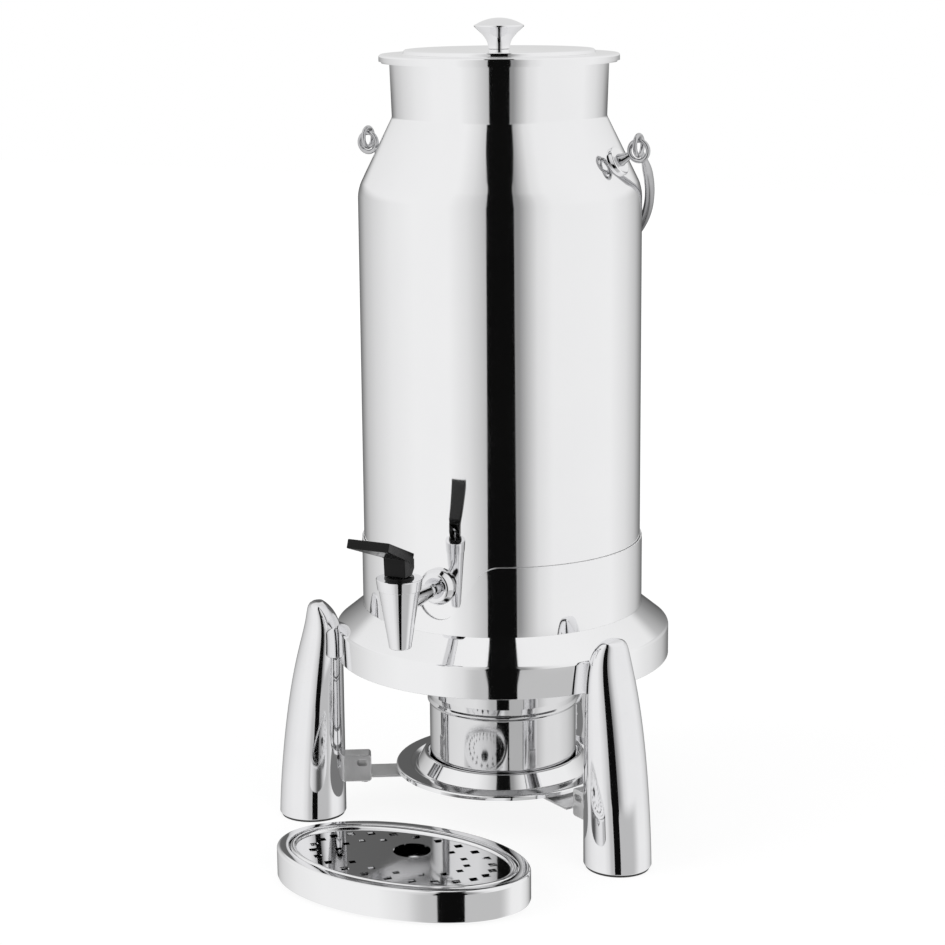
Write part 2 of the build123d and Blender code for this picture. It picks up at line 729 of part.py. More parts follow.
with BuildPart() as urn_base:
    base_mid_r = body_r - body_sheet - fit_gap - base_sheet / 2
    with BuildSketch(Plane.XZ):
        with BuildLine():
            FilletPolyline((0, body_bottom_z + base_sheet / 2), (base_mid_r, body_bottom_z + base_sheet / 2),
                           (base_mid_r, body_bottom_z + base_flange_h), radius=base_sheet)
        trace(line_width=base_sheet)
    revolve(axis=Axis.Z)
urn_base.part.label = "urn_base"
export_step(urn_base.part.moved(over_footprint), "parts/urn_base.step")

with BuildPart() as neck_rim:
    rim_mid_z = rim_top_z - rim_sheet / 2
    with BuildSketch(Plane.XZ):
        with BuildLine():
            FilletPolyline((neck_top_r - body_sheet, rim_mid_z), (rim_r - rim_sheet / 2, rim_mid_z),
                           (rim_r - rim_sheet / 2, rim_top_z - rim_lip_h), radius=rim_sheet)
        trace(line_width=rim_sheet)
    revolve(axis=Axis.Z)
neck_rim.part.label = "neck_rim"
export_step(neck_rim.part.moved(over_footprint), "parts/neck_rim.step")

# The shoulder as a full cone, to hollow out the back of what sits on it
with BuildPart() as shoulder_room:
    with BuildSketch(Plane.XZ):
        with BuildLine():
            Polyline((0, shoulder_z), (body_r + fit_gap, shoulder_z), (neck_bottom_r + fit_gap, crease_z),
                     (0, crease_z), close=True)
        make_face()
    revolve(axis=Axis.Z)

# ---- plates, eyes and nuts that carry the bail
# the eyes stand out from the shoulder just so far that the hanging bail clears the body
eye_x = body_r + bail_rod_r + bail_side_gap
eye_reach = (eye_x - eye_root_r) / cos(shoulder_tilt)
eye_z = eye_root_z + eye_reach * sin(shoulder_tilt)
sides = {"left": -1, "right": 1}

for name, side in sides.items():
    with BuildPart() as handle_plate:
        with BuildSketch(stud_plane(side).offset(-plate_t)):
            Circle(plate_r)
        extrude(amount=2 * plate_t)
        stud_axis = Axis((0, 0, 0), (side * cos(shoulder_tilt), 0, sin(shoulder_tilt)))
        fillet(handle_plate.faces().sort_by(stud_axis)[-1].edges(), plate_t * 0.45)
        with BuildSketch(stud_plane(side).offset(-2 * plate_t)):
            Circle(eye_stud_r + fit_gap)
        extrude(amount=4 * plate_t, mode=Mode.SUBTRACT)
        add(shoulder_room.part, mode=Mode.SUBTRACT)
    handle_plate.part.label = f"handle_plate_{name}"
    export_step(handle_plate.part.moved(over_footprint), f"parts/handle_plate_{name}.step")

    with BuildPart() as handle_eye:
        with BuildSketch(stud_plane(side).offset(-eye_stud_in)):
            Circle(eye_stud_r)
        extrude(amount=eye_stud_in + plate_t + eye_wire_r)
        with BuildSketch(stud_plane(side).offset(plate_t + fit_gap)):
            Circle(eye_neck_r * 1.3)
        with BuildSketch(stud_plane(side).offset(eye_reach - eye_mean_r - eye_wire_r / 2)):
            Circle(eye_wire_r * 1.3)
        loft()
        with Locations(Location((side * eye_x, 0, eye_z), (90, 0, 0))):
            Torus(eye_mean_r, eye_wire_r)
    handle_eye.part.label = f"handle_eye_{name}"
    export_step(handle_eye.part.moved(over_footprint), f"parts/handle_eye_{name}.step")

with BuildPart() as handle_nuts:
    for side in sides.values():
        with BuildSketch(stud_plane(side).offset(-body_sheet - nut_bedding)):
            RegularPolygon(nut_across_r, 6)
            Circle(eye_stud_r + fit_gap, mode=Mode.SUBTRACT)
        extrude(amount=-nut_t)
handle_nuts.part.label = "handle_nuts"
export_step(handle_nuts.part.moved(over_footprint), "parts/handle_nuts.step")

# ================================================================ BAIL

loop_z = eye_z + 2 * eye_wire_r + link_gap
bail_back_y = body_r + bail_body_gap + bail_rod_r
bail_lean = radians(bail_lean_angle)
bail_drop = bail_back_y / sin(bail_lean)      # from the loops' centres to the middle of the grip
bail_plane = Plane(origin=(0, 0, loop_z), x_dir=(1, 0, 0),
                   z_dir=(0, -cos(bail_lean), -sin(bail_lean)))
loop_mean_r = eye_mean_r


def bail_point(turn):
    """A point of the bail's centre line, from one loop (0) round to the other (pi)."""
    return (eye_x * cos(turn), -bail_drop * sin(turn))


taper_turn = asin(bail_taper_l / bail_drop)
start_turn = asin(loop_mean_r / bail_drop)

with BuildPart() as bail:
    with BuildLine(bail_plane):
        bail_line = EllipticalCenterArc((0, 0), eye_x, bail_drop,
                                        start_angle=180 + degrees(taper_turn),
                                        arc_size=180 - 2 * degrees(taper_turn))
    with BuildSketch(Plane(bail_line @ 0, z_dir=bail_line % 0)):
        Circle(bail_rod_r)
    sweep()
    for side in (-1, 1):
        near = Plane(bail_line @ 0, z_dir=bail_line % 0)
        far = Plane(bail_line @ 1, z_dir=bail_line % 1)
        joint_end = near if side == -1 else far
        loop_end = bail_plane.from_local_coords(Vector(side * bail_point(start_turn)[0],
                                                       bail_point(start_turn)[1], 0))
        tip = Plane(loop_end, z_dir=joint_end.z_dir)
        with BuildSketch(joint_end):
            Circle(bail_rod_r)
        with BuildSketch(tip):
            Circle(eye_wire_r)
        loft()
        with Locations(Location((side * eye_x, 0, loop_z), (0, 90, 0))):
            Torus(loop_mean_r, eye_wire_r + fit_gap, mode=Mode.SUBTRACT)
bail.part.label = "bail"
export_step(bail.part.moved(over_footprint), "parts/bail.step")

for name, side in sides.items():
    with BuildPart() as bail_loop:
        with Locations(Location((side * eye_x, 0, loop_z), (0, 90, 0))):
            Torus(loop_mean_r, eye_wire_r)
    bail_loop.part.label = f"bail_loop_{name}"
    export_step(bail_loop.part.moved(over_footprint), f"parts/bail_loop_{name}.step")

# ================================================================ LID

brim_z = rim_top_z + rest_gap + lid_sheet / 2
panel_z = brim_z + lid_panel_rise
lid_r = rim_r + lid_side_gap + lid_sheet
skirt_mid_r = lid_r - lid_sheet / 2
with BuildPart() as lid:
    with BuildSketch(Plane.XZ):
        with BuildLine():
            FilletPolyline((0, panel_z), (lid_panel_r, panel_z), (lid_panel_r + lid_sheet, brim_z),
                           (skirt_mid_r, brim_z), (skirt_mid_r, brim_z + lid_sheet / 2 - lid_skirt_h),
                           radius=lid_sheet)
        trace(line_width=lid_sheet)
    revolve(axis=Axis.Z)
    with BuildSketch(Plane.XY.offset(brim_z)):
        Circle(knob_screw_r + fit_gap)
    extrude(amount=2 * lid_panel_rise, mode=Mode.SUBTRACT)
lid.part.label = "lid"
export_step(lid.part.moved(over_footprint), "parts/lid.step")

with BuildPart() as lid_spigot:
    spigot_out_r = neck_bottom_r - body_sheet - spigot_gap
    with BuildSketch(Plane.XY.offset(brim_z - lid_sheet / 2 - fit_gap)):
        Circle(spigot_out_r)
        Circle(spigot_out_r - spigot_sheet, mode=Mode.SUBTRACT)
    extrude(amount=-spigot_h)
lid_spigot.part.label = "lid_spigot"
export_step(lid_spigot.part.moved(over_footprint), "parts/lid_spigot.step")

knob_z = panel_z + lid_sheet / 2 + fit_gap
dome_h = knob_h - knob_flare_h
dome_r = (knob_r ** 2 + dome_h ** 2) / (2 * dome_h)
dome_turn = asin(knob_r / dome_r)
with BuildPart() as lid_knob:
    with BuildSketch(Plane.XZ):
        with BuildLine():
            Polyline((0, knob_z), (knob_stem_r, knob_z), (knob_stem_r, knob_z + knob_flare_h * 0.12))
            Spline((knob_stem_r, knob_z + knob_flare_h * 0.12),
                   (knob_stem_r + (knob_r - knob_stem_r) * 0.34, knob_z + knob_flare_h * 0.56),
                   (knob_r, knob_z + knob_flare_h), tangents=[(0, 1), (1, 0.75)])
            ThreePointArc((knob_r, knob_z + knob_flare_h),
                          (dome_r * sin(dome_turn / 2), knob_z + knob_h - dome_r * (1 - cos(dome_turn / 2))),
                          (0, knob_z + knob_h))
            Line((0, knob_z + knob_h), (0, knob_z))
        make_face()
    revolve(axis=Axis.Z)
    with BuildSketch(Plane.XY.offset(knob_z - fit_gap)):
        Circle(knob_screw_r + fit_gap)
    extrude(amount=knob_screw_in + knob_screw_r, mode=Mode.SUBTRACT)
lid_knob.part.label = "lid_knob"
export_step(lid_knob.part.moved(over_footprint), "parts/lid_knob.step")

with BuildPart() as knob_screw:
    head_z = panel_z - lid_sheet / 2 - fit_gap
    with BuildSketch(Plane.XY.offset(head_z)):
        Circle(knob_screw_head_r)
    extrude(amount=-knob_screw_head_h)
    fillet(knob_screw.edges().group_by(Axis.Z)[0], knob_screw_head_h / 3)
    with BuildSketch(Plane.XY.offset(head_z)):
        Circle(knob_screw_r)
    extrude(amount=lid_sheet + 2 * fit_gap + knob_screw_in)
knob_screw.part.label = "knob_screw"
export_step(knob_screw.part.moved(over_footprint), "parts/knob_screw.step")

# ================================================================ TAP

tap_plane = Plane.XZ.offset(tap_reach)                 # through the spout's axis
tap_axis = Axis((0, -tap_reach, 0), (0, 0, 1))
shank_plane = Plane(origin=(0, 0, tap_z), x_dir=(1, 0, 0), z_dir=(0, -1, 0))
tap_top_z = tap_bottom_z + tap_cone_h
seat_z = tap_bottom_z + outlet_h
cavity_r = tap_top_r - tap_wall
cone_slope = (tap_top_r - tap_bottom_r) / tap_cone_h

with BuildPart() as tap_body:
    with BuildSketch(tap_plane):
        with BuildLine():
            FilletPolyline((outlet_r, tap_bottom_z), (tap_bottom_r, tap_bottom_z),
                           (tap_top_r, tap_top_z), radius=1.2)
            Polyline((tap_top_r, tap_top_z), (cavity_r, tap_top_z),
                     (cavity_r - cone_slope * tap_cone_h * 0.6, seat_z + tap_cone_h * 0.2),
                     (cavity_r - cone_slope * tap_cone_h * 0.8, seat_z + outlet_h * 0.6),
                     (outlet_r, seat_z), (outlet_r, tap_bottom_z))
        make_face()
    revolve(axis=tap_axis)
    # shank, thicker towards the spout, with a straight threaded end in the wall
    shank_root = body_r + escutcheon_t
    with BuildSketch(shank_plane.offset(body_r - shank_in)):
        Circle(shank_body_r)
    extrude(amount=shank_in + escutcheon_t)
    with BuildSketch(shank_plane.offset(shank_root)):
        Circle(shank_body_r)
    with BuildSketch(shank_plane.offset(tap_reach - tap_top_r * 0.75)):
        Circle(shank_cone_r)
    loft()
    # clear the chamber that the shank runs into, and bore the shank
    with BuildSketch(tap_plane):
        with BuildLine():
            Polyline((0, tap_top_z), (cavity_r, tap_top_z),
                     (cavity_r - cone_slope * tap_cone_h * 0.6, seat_z + tap_cone_h * 0.2),
                     (cavity_r - cone_slope * tap_cone_h * 0.8, seat_z + outlet_h * 0.6),
                     (0, seat_z + outlet_h * 0.6), close=True)
        make_face()
    revolve(axis=tap_axis, mode=Mode.SUBTRACT)
    with BuildSketch(shank_plane.offset(body_r - 2 * shank_in)):
        Circle(shank_bore_r)
    extrude(amount=tap_reach - body_r + 2 * shank_in, mode=Mode.SUBTRACT)
tap_body.part.label = "tap_body"
export_step(tap_body.part.moved(over_footprint), "parts/tap_body.step")

# ---- chromed nut that holds the bonnet on the spout
nut_z = tap_top_z + fit_gap
nut_top_z = nut_z + collar_nut_h
bonnet_seat_r = collar_nut_bottom_r - tap_wall
with BuildPart() as tap_collar:
    with BuildSketch(tap_plane):
        with BuildLine():
            Polyline((bonnet_seat_r, nut_z), (collar_nut_bottom_r, nut_z),
                     (collar_nut_top_r, nut_top_z), (bonnet_r + fit_gap, nut_top_z),
                     (bonnet_r + fit_gap, nut_top_z - collar_nut_lip),
                     (bonnet_seat_r, nut_top_z - collar_nut_lip), close=True)
        make_face()
    revolve(axis=tap_axis)
    fillet(circles_at(tap_collar.part, nut_top_z, collar_nut_top_r), 0.6)
tap_collar.part.label = "tap_collar"
export_step(tap_collar.part.moved(over_footprint), "parts/tap_collar.step")

# ---- black bonnet that guides the stem
bonnet_top_z = nut_top_z + bonnet_proud
stem_hole_r = stem_r + running_gap
with BuildPart() as tap_bonnet:
    with BuildSketch(tap_plane):
        with BuildLine():
            Polyline((stem_hole_r, nut_z), (bonnet_seat_r - fit_gap, nut_z),
                     (bonnet_seat_r - fit_gap, nut_top_z - collar_nut_lip - fit_gap),
                     (bonnet_r, nut_top_z - collar_nut_lip - fit_gap), (bonnet_r, bonnet_top_z),
                     (stem_hole_r, bonnet_top_z), close=True)
        make_face()
    revolve(axis=tap_axis)
    fillet(circles_at(tap_bonnet.part, bonnet_top_z, bonnet_r), bonnet_proud / 2)
tap_bonnet.part.label = "tap_bonnet"
export_step(tap_bonnet.part.moved(over_footprint), "parts/tap_bonnet.step")

# ---- domed escutcheon on the body's wall, seals and the nut inside
shank_axis = Axis((0, 0, tap_z), (0, -1, 0))
shank_profile = Plane(origin=(0, 0, tap_z), x_dir=(0, 0, 1), z_dir=(1, 0, 0))
hole_r = shank_body_r + fit_gap
with BuildPart() as tap_escutcheon:
    with BuildSketch(shank_profile):
        with BuildLine():
            FilletPolyline((escutcheon_r, body_r - escutcheon_t / 2),
                           (escutcheon_r, body_r + escutcheon_t * 0.45),
                           (escutcheon_r * 0.78, body_r + escutcheon_t),
                           (hole_r + 2.4, body_r + escutcheon_t), (hole_r, body_r + escutcheon_t * 0.7),
                           radius=[2.6, 2.6, 0.6])
            Polyline((hole_r, body_r + escutcheon_t * 0.7), (hole_r, body_r - escutcheon_t / 2),
                     (escutcheon_r, body_r - escutcheon_t / 2))
        make_face()
    revolve(axis=shank_axis)
    with BuildSketch(Plane.XY.offset(tap_z - 2 * escutcheon_r)):
        Circle(body_r + fit_gap)
    extrude(amount=4 * escutcheon_r, mode=Mode.SUBTRACT)
    with BuildSketch(shank_plane.offset(body_r - seal_t)):
        Circle(seal_r + fit_gap)
    extrude(amount=2 * seal_t, mode=Mode.SUBTRACT)
tap_escutcheon.part.label = "tap_escutcheon"
export_step(tap_escutcheon.part.moved(over_footprint), "parts/tap_escutcheon.step")

with BuildPart() as tap_seal_outer:
    with BuildSketch(shank_plane.offset(body_r - seal_t)):
        Circle(seal_r)
        Circle(hole_r, mode=Mode.SUBTRACT)
    extrude(amount=2 * seal_t - fit_gap)
    with BuildSketch(Plane.XY.offset(tap_z - 2 * seal_r)):
        Circle(body_r + fit_gap)
    extrude(amount=4 * seal_r, mode=Mode.SUBTRACT)
tap_seal_outer.part.label = "tap_seal_outer"
export_step(tap_seal_outer.part.moved(over_footprint), "parts/tap_seal_outer.step")

wall_in_r = body_r - body_sheet
with BuildPart() as tap_seal_inner:
    with BuildSketch(shank_plane.offset(wall_in_r - seal_t)):
        Circle(seal_r)
        Circle(hole_r, mode=Mode.SUBTRACT)
    extrude(amount=2 * seal_t)
    with BuildSketch(Plane.XY.offset(tap_z - 2 * seal_r)):
        Circle(2 * body_r)
        Circle(wall_in_r - fit_gap, mode=Mode.SUBTRACT)
    extrude(amount=4 * seal_r, mode=Mode.SUBTRACT)
tap_seal_inner.part.label = "tap_seal_inner"
export_step(tap_seal_inner.part.moved(over_footprint), "parts/tap_seal_inner.step")

with BuildPart() as tap_nut:
    with BuildSketch(shank_plane.offset(wall_in_r - seal_t - fit_gap - tap_nut_t)):
        RegularPolygon(tap_nut_r, 6)
        Circle(hole_r, mode=Mode.SUBTRACT)
    extrude(amount=tap_nut_t)
tap_nut.part.label = "tap_nut"
export_step(tap_nut.part.moved(over_footprint), "parts/tap_nut.step")

# ---- stem with its head, the seat cup and the spring
seat_cup_z = seat_z + outlet_h * 0.6 + rest_gap
pin_z = bonnet_top_z + lever_pin_above
with BuildPart() as tap_stem:
    with BuildSketch(Plane.XY.offset(seat_cup_z + seat_cup_h / 2)):
        with Locations((0, -tap_reach)):
            Circle(stem_r)
    extrude(amount=pin_z - seat_cup_z - seat_cup_h / 2)
    with BuildSketch(Plane.YZ.offset(-stem_head_t / 2)):
        with Locations((-tap_reach, pin_z)):
            Circle(stem_head_r)
    extrude(amount=stem_head_t)
    with BuildSketch(Plane.YZ.offset(-stem_head_t)):
        with Locations((-tap_reach, pin_z)):
            Circle(lever_pin_r + running_gap)
    extrude(amount=2 * stem_head_t, mode=Mode.SUBTRACT)
tap_stem.part.label = "tap_stem"
export_step(tap_stem.part.moved(over_footprint), "parts/tap_stem.step")

with BuildPart() as seat_cup:
    with BuildSketch(tap_plane):
        with BuildLine():
            Polyline((0, seat_cup_z), (seat_cup_r * 0.75, seat_cup_z),
                     (seat_cup_r, seat_cup_z + seat_cup_h * 0.3), (seat_cup_r, seat_cup_z + seat_cup_h * 0.6),
                     (stem_r + 1.6, seat_cup_z + seat_cup_h), (stem_r + fit_gap, seat_cup_z + seat_cup_h),
                     (stem_r + fit_gap, seat_cup_z + seat_cup_h / 2 - fit_gap),
                     (0, seat_cup_z + seat_cup_h / 2 - fit_gap), close=True)
        make_face()
    revolve(axis=tap_axis)
seat_cup.part.label = "seat_cup"
export_step(seat_cup.part.moved(over_footprint), "parts/seat_cup.step")

spring_bottom_z = seat_cup_z + seat_cup_h + spring_wire_r + fit_gap
spring_top_z = nut_z - spring_wire_r - fit_gap
with BuildPart() as tap_spring:
    with BuildLine():
        coil = Helix((spring_top_z - spring_bottom_z) / spring_turns, spring_top_z - spring_bottom_z,
                     spring_r, center=(0, -tap_reach, spring_bottom_z))
    with BuildSketch(Plane(coil @ 0, z_dir=coil % 0)):
        Circle(spring_wire_r)
    sweep(is_frenet=True)
tap_spring.part.label = "tap_spring"
export_step(tap_spring.part.moved(over_footprint), "parts/tap_spring.step")

# ---- lever: a paddle that widens to its tip, over a hub that is open at its back
lever_back_z = bonnet_top_z + lever_back_rise
lever_back_y = -tap_reach + hub_back
slope = radians(lever_slope)
paddle_plane = Plane(origin=(0, lever_back_y, lever_back_z), x_dir=(1, 0, 0),
                     z_dir=(0, sin(slope), cos(slope)))
hub_bottom_z = bonnet_top_z + hub_gap
hub_front_y = -tap_reach - hub_heel
underside = lever_t / cos(slope)


def paddle_z(y):
    """Height of the paddle's upper face over a point of the tap's middle plane."""
    return lever_back_z + (lever_back_y - y) * tan(slope)


with BuildPart() as tap_lever:
    with BuildSketch(paddle_plane):
        with BuildLine():
            Polyline((-lever_hub_w / 2, 0), (lever_hub_w / 2, 0), (lever_tip_w / 2, -lever_l),
                     (-lever_tip_w / 2, -lever_l), close=True)
        make_face()
    extrude(amount=-lever_t)
    fillet(tap_lever.faces().sort_by(Axis.Y)[0].edges(), lever_round)
    with BuildSketch(Plane.YZ.offset(-lever_hub_w / 2)):
        with BuildLine():
            Polyline((lever_back_y, paddle_z(lever_back_y) - underside / 2),
                     (lever_back_y, hub_bottom_z + hub_back * 0.6),
                     (lever_back_y - hub_back * 0.5, hub_bottom_z),
                     (hub_front_y, hub_bottom_z), (hub_front_y - 1.0, paddle_z(hub_front_y) - underside / 2),
                     close=True)
        make_face()
    extrude(amount=lever_hub_w)
    # slot for the stem's head, and the pin's hole
    slot_front_y = hub_front_y + hub_front_wall
    slot_l = 2 * hub_back
    with BuildSketch(Plane.YZ.offset(-stem_head_t / 2 - rest_gap)):
        with Locations((-tap_reach, pin_z)):
            Circle(stem_head_r + rest_gap)
        with Locations((slot_front_y + slot_l / 2, (hub_bottom_z + pin_z) / 2 - rest_gap)):
            Rectangle(slot_l, pin_z - hub_bottom_z + 2 * rest_gap)
    extrude(amount=stem_head_t + 2 * rest_gap, mode=Mode.SUBTRACT)
    with BuildSketch(Plane.YZ.offset(-lever_hub_w)):
        with Locations((-tap_reach, pin_z)):
            Circle(lever_pin_r)
    extrude(amount=2 * lever_hub_w, mode=Mode.SUBTRACT)
tap_lever.part.label = "tap_lever"
export_step(tap_lever.part.moved(over_footprint), "parts/tap_lever.step")

with BuildPart() as lever_pin:
    with BuildSketch(Plane.YZ.offset(-lever_hub_w / 2)):
        with Locations((-tap_reach, pin_z)):
            Circle(lever_pin_r)
    extrude(amount=lever_hub_w)
lever_pin.part.label = "lever_pin"
export_step(lever_pin.part.moved(over_footprint), "parts/lever_pin.step")

# ================================================================ DRIP TRAY

opening_a = tray_a - tray_rim_w
opening_b = tray_b - tray_rim_w


def tray_level(height):
    """Plane of the tray's sketches at a height, with its origin in the tray's middle."""
    return Plane(origin=(tray_x, tray_y, height), x_dir=(1, 0, 0), z_dir=(0, 0, 1))


ledge_top_z = tray_h - strainer_bead_h
with BuildPart() as tray_pan:
    with BuildSketch(tray_level(tray_floor_z)):
        Ellipse(tray_a, tray_b)
    extrude(amount=tray_h - tray_floor_z)
    fillet(tray_pan.edges().group_by(Axis.Z)[-1], tray_edge_round)
    with BuildSketch(tray_level(tray_floor_z + tray_floor_t)):
        Ellipse(tray_a - tray_wall, tray_b - tray_wall)
    extrude(amount=tray_h - tray_floor_z - tray_floor_t - tray_edge_round - tray_wall, mode=Mode.SUBTRACT)
    with BuildSketch(tray_level(tray_floor_z + tray_floor_t)):
        Ellipse(opening_a, opening_b)
    extrude(amount=tray_h, mode=Mode.SUBTRACT)
    # the ledge that the strainer lies on, hung from the rim
    with BuildSketch(tray_level(ledge_top_z - tray_ledge_t)):
        Ellipse(opening_a + tray_wall, opening_b + tray_wall)
        Ellipse(opening_a - tray_ledge_w, opening_b - tray_ledge_w, mode=Mode.SUBTRACT)
    extrude(amount=tray_ledge_t)
    with BuildSketch(tray_level(ledge_top_z - tray_ledge_t)):
        Ellipse(opening_a + tray_wall, opening_b + tray_wall)
        Ellipse(opening_a, opening_b, mode=Mode.SUBTRACT)
    extrude(amount=tray_h - tray_edge_round / 2 - ledge_top_z + tray_ledge_t)
tray_pan.part.label = "tray_pan"
export_step(tray_pan.part.moved(over_footprint), "parts/tray_pan.step")

with BuildPart() as tray_feet:
    for step in range(foot_count):
        turn = 2 * pi * (step + 0.5) / foot_count
        with BuildSketch(tray_level(0)):
            with Locations((1.1 * (tray_a - 4 * foot_r) * cos(turn),
                            1.1 * (tray_b - 3 * foot_r) * sin(turn))):
                Circle(foot_r)
        extrude(amount=tray_floor_z - fit_gap)
tray_feet.part.label = "tray_feet"
export_step(tray_feet.part.moved(over_footprint), "parts/tray_feet.step")

# ---- strainer with its rolled edge and rows of diamond holes
plate_z = ledge_top_z + rest_gap
strainer_a = opening_a - strainer_gap
strainer_b = opening_b - strainer_gap
plate_a = strainer_a - strainer_bead_w
plate_b = strainer_b - strainer_bead_w
with BuildPart() as strainer:
    with BuildSketch(tray_level(plate_z)):
        Ellipse(strainer_a, strainer_b)
    extrude(amount=strainer_bead_h - rest_gap - 0.2)
    fillet(strainer.edges().group_by(Axis.Z)[-1], strainer_bead_h / 3)
    with BuildSketch(tray_level(plate_z + strainer_sheet)):
        Ellipse(plate_a, plate_b)
    extrude(amount=strainer_bead_h, mode=Mode.SUBTRACT)
    with BuildSketch(tray_level(plate_z)):
        with Locations((0, finger_hole_y)):
            Circle(finger_hole_r)
        for share, count, size in strainer_rows:
            for step in range(count):
                turn = 2 * pi * (step + 0.5) / count
                spot = (plate_a * share * cos(turn), plate_b * share * sin(turn))
                if hypot(spot[0], spot[1] - finger_hole_y) > finger_hole_r + size:
                    with Locations(Location((spot[0], spot[1], 0), (0, 0, 45))):
                        RectangleRounded(size * 0.85, size * 0.85, size * 0.15)
    extrude(amount=strainer_sheet, mode=Mode.SUBTRACT)
strainer.part.label = "strainer"
export_step(strainer.part.moved(over_footprint), "parts/strainer.step")
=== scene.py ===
import bpy
import bmesh
import json
from math import asin, atan2, cos, degrees, hypot, pi, radians, sin, tan
from mathutils import Euler, Matrix, Vector


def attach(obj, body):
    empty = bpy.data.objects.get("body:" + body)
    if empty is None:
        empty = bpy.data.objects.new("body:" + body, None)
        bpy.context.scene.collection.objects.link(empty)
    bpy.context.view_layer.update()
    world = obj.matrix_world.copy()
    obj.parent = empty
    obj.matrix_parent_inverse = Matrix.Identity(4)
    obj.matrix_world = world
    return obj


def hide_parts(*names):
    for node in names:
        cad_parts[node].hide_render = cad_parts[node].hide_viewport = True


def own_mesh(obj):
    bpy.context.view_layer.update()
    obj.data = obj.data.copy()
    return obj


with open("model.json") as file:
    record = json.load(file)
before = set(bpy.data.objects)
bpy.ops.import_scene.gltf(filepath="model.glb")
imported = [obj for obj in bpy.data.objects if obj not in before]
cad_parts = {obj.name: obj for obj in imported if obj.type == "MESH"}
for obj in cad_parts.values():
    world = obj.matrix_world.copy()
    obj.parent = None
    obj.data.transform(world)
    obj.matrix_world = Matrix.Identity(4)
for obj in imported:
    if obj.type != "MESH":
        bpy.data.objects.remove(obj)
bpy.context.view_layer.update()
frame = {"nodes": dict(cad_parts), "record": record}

# Hot water urn: the polished skins, the tap, the bail, the legs and the drip tray are modelled
# here over the solids of the frame, and every other solid keeps its shape and gets its finish.
# Sizes are written in millimetres and turned into metres where they are drawn.

MM = 0.001
AXIS_Y = 31.0           # the urn's axis stands this far behind the origin
TAP_Y = AXIS_Y - 157.0  # the spout's axis
TAP_Z = 194.6           # height of the shank through the wall
TRAY_X, TRAY_Y = 6.0, AXIS_Y - 170.0
BODY_R = 100.0
BODY_SHEET = 1.2        # of the wall, the neck, its rim and the collar
TURN_STEPS = 176        # facets round the large turned skins
SMALL_STEPS = 72        # and round small turned pieces

UP = Vector((0, 0, 1))
OUT = Vector((1, 0, 0))


# ------------------------------------------------------------------ bench tools

def let_go():
    """Nothing is selected and nothing is being edited."""
    if bpy.context.object and bpy.context.object.mode != "OBJECT":
        bpy.ops.object.mode_set(mode="OBJECT")
    bpy.ops.object.select_all(action="DESELECT")


def take(piece):
    """Only this piece is selected."""
    let_go()
    piece.hide_set(False)
    piece.select_set(True)
    bpy.context.view_layer.objects.active = piece


def select_where(piece, test):
    """Select the vertices of the edited piece for which test(place) is true."""
    bpy.context.tool_settings.mesh_select_mode = (True, False, False)
    bpy.ops.mesh.select_all(action="DESELECT")
    mesh = bmesh.from_edit_mesh(piece.data)
    for vert in mesh.verts:
        vert.select_set(test(vert.co))
    mesh.select_flush_mode()
    bmesh.update_edit_mesh(piece.data)


def select_all():
    bpy.ops.mesh.select_all(action="SELECT")


def fix_place():
    """The piece's place, turn and size go into its mesh."""
    bpy.ops.object.transform_apply(location=True, rotation=True, scale=True)


def first_point(name, place):
    """A new piece that is a single point, open for drawing."""
    let_go()
    bpy.ops.mesh.primitive_plane_add(size=0.001, location=place)
    piece = bpy.context.object
    piece.name = name
    piece.data.name = name
    fix_place()
    bpy.ops.object.mode_set(mode="EDIT")
    bpy.context.tool_settings.mesh_select_mode = (True, False, False)
    select_all()
    bpy.ops.mesh.merge(type="CENTER")
    return piece


def draw(name, corners, closed=False):
    """Draw a wire through corners, each (place, rounding radius), and round those that have one."""
    places = [Vector(place) * MM for place, rounding in corners]
    piece = first_point(name, places[0])
    walk = places + [places[0]] if closed else places
    for start, end in zip(walk, walk[1:]):
        bpy.ops.mesh.extrude_region_move(TRANSFORM_OT_translate={"value": tuple(end - start)})
    if closed:
        select_all()
        bpy.ops.mesh.remove_doubles(threshold=1e-6)
    count = len(places)
    for number, (place, rounding) in enumerate(corners):
        if not rounding or (not closed and number in (0, count - 1)):
            continue
        here = places[number]
        before = (here - places[number - 1]).normalized()
        after = (places[(number + 1) % count] - here).normalized()
        bend = before.angle(after)
        if bend < radians(1):
            continue
        select_where(piece, lambda co: (co - here).length < 1e-6)
        bpy.ops.mesh.bevel(offset=rounding * MM * tan(bend / 2), offset_type="OFFSET",
                           segments=max(3, round(degrees(bend) / 7)), profile=0.5,
                           affect="VERTICES", clamp_overlap=False)
    return piece


def smooth(piece, angle=32):
    """Smooth shading with crisp edges; the large faces lead the small ones."""
    take(piece)
    bpy.ops.object.shade_smooth_by_angle(angle=radians(angle))
    weights = piece.modifiers.new("face_weights", "WEIGHTED_NORMAL")
    weights.keep_sharp = True
    bpy.ops.object.modifier_apply(modifier="face_weights")
    return piece


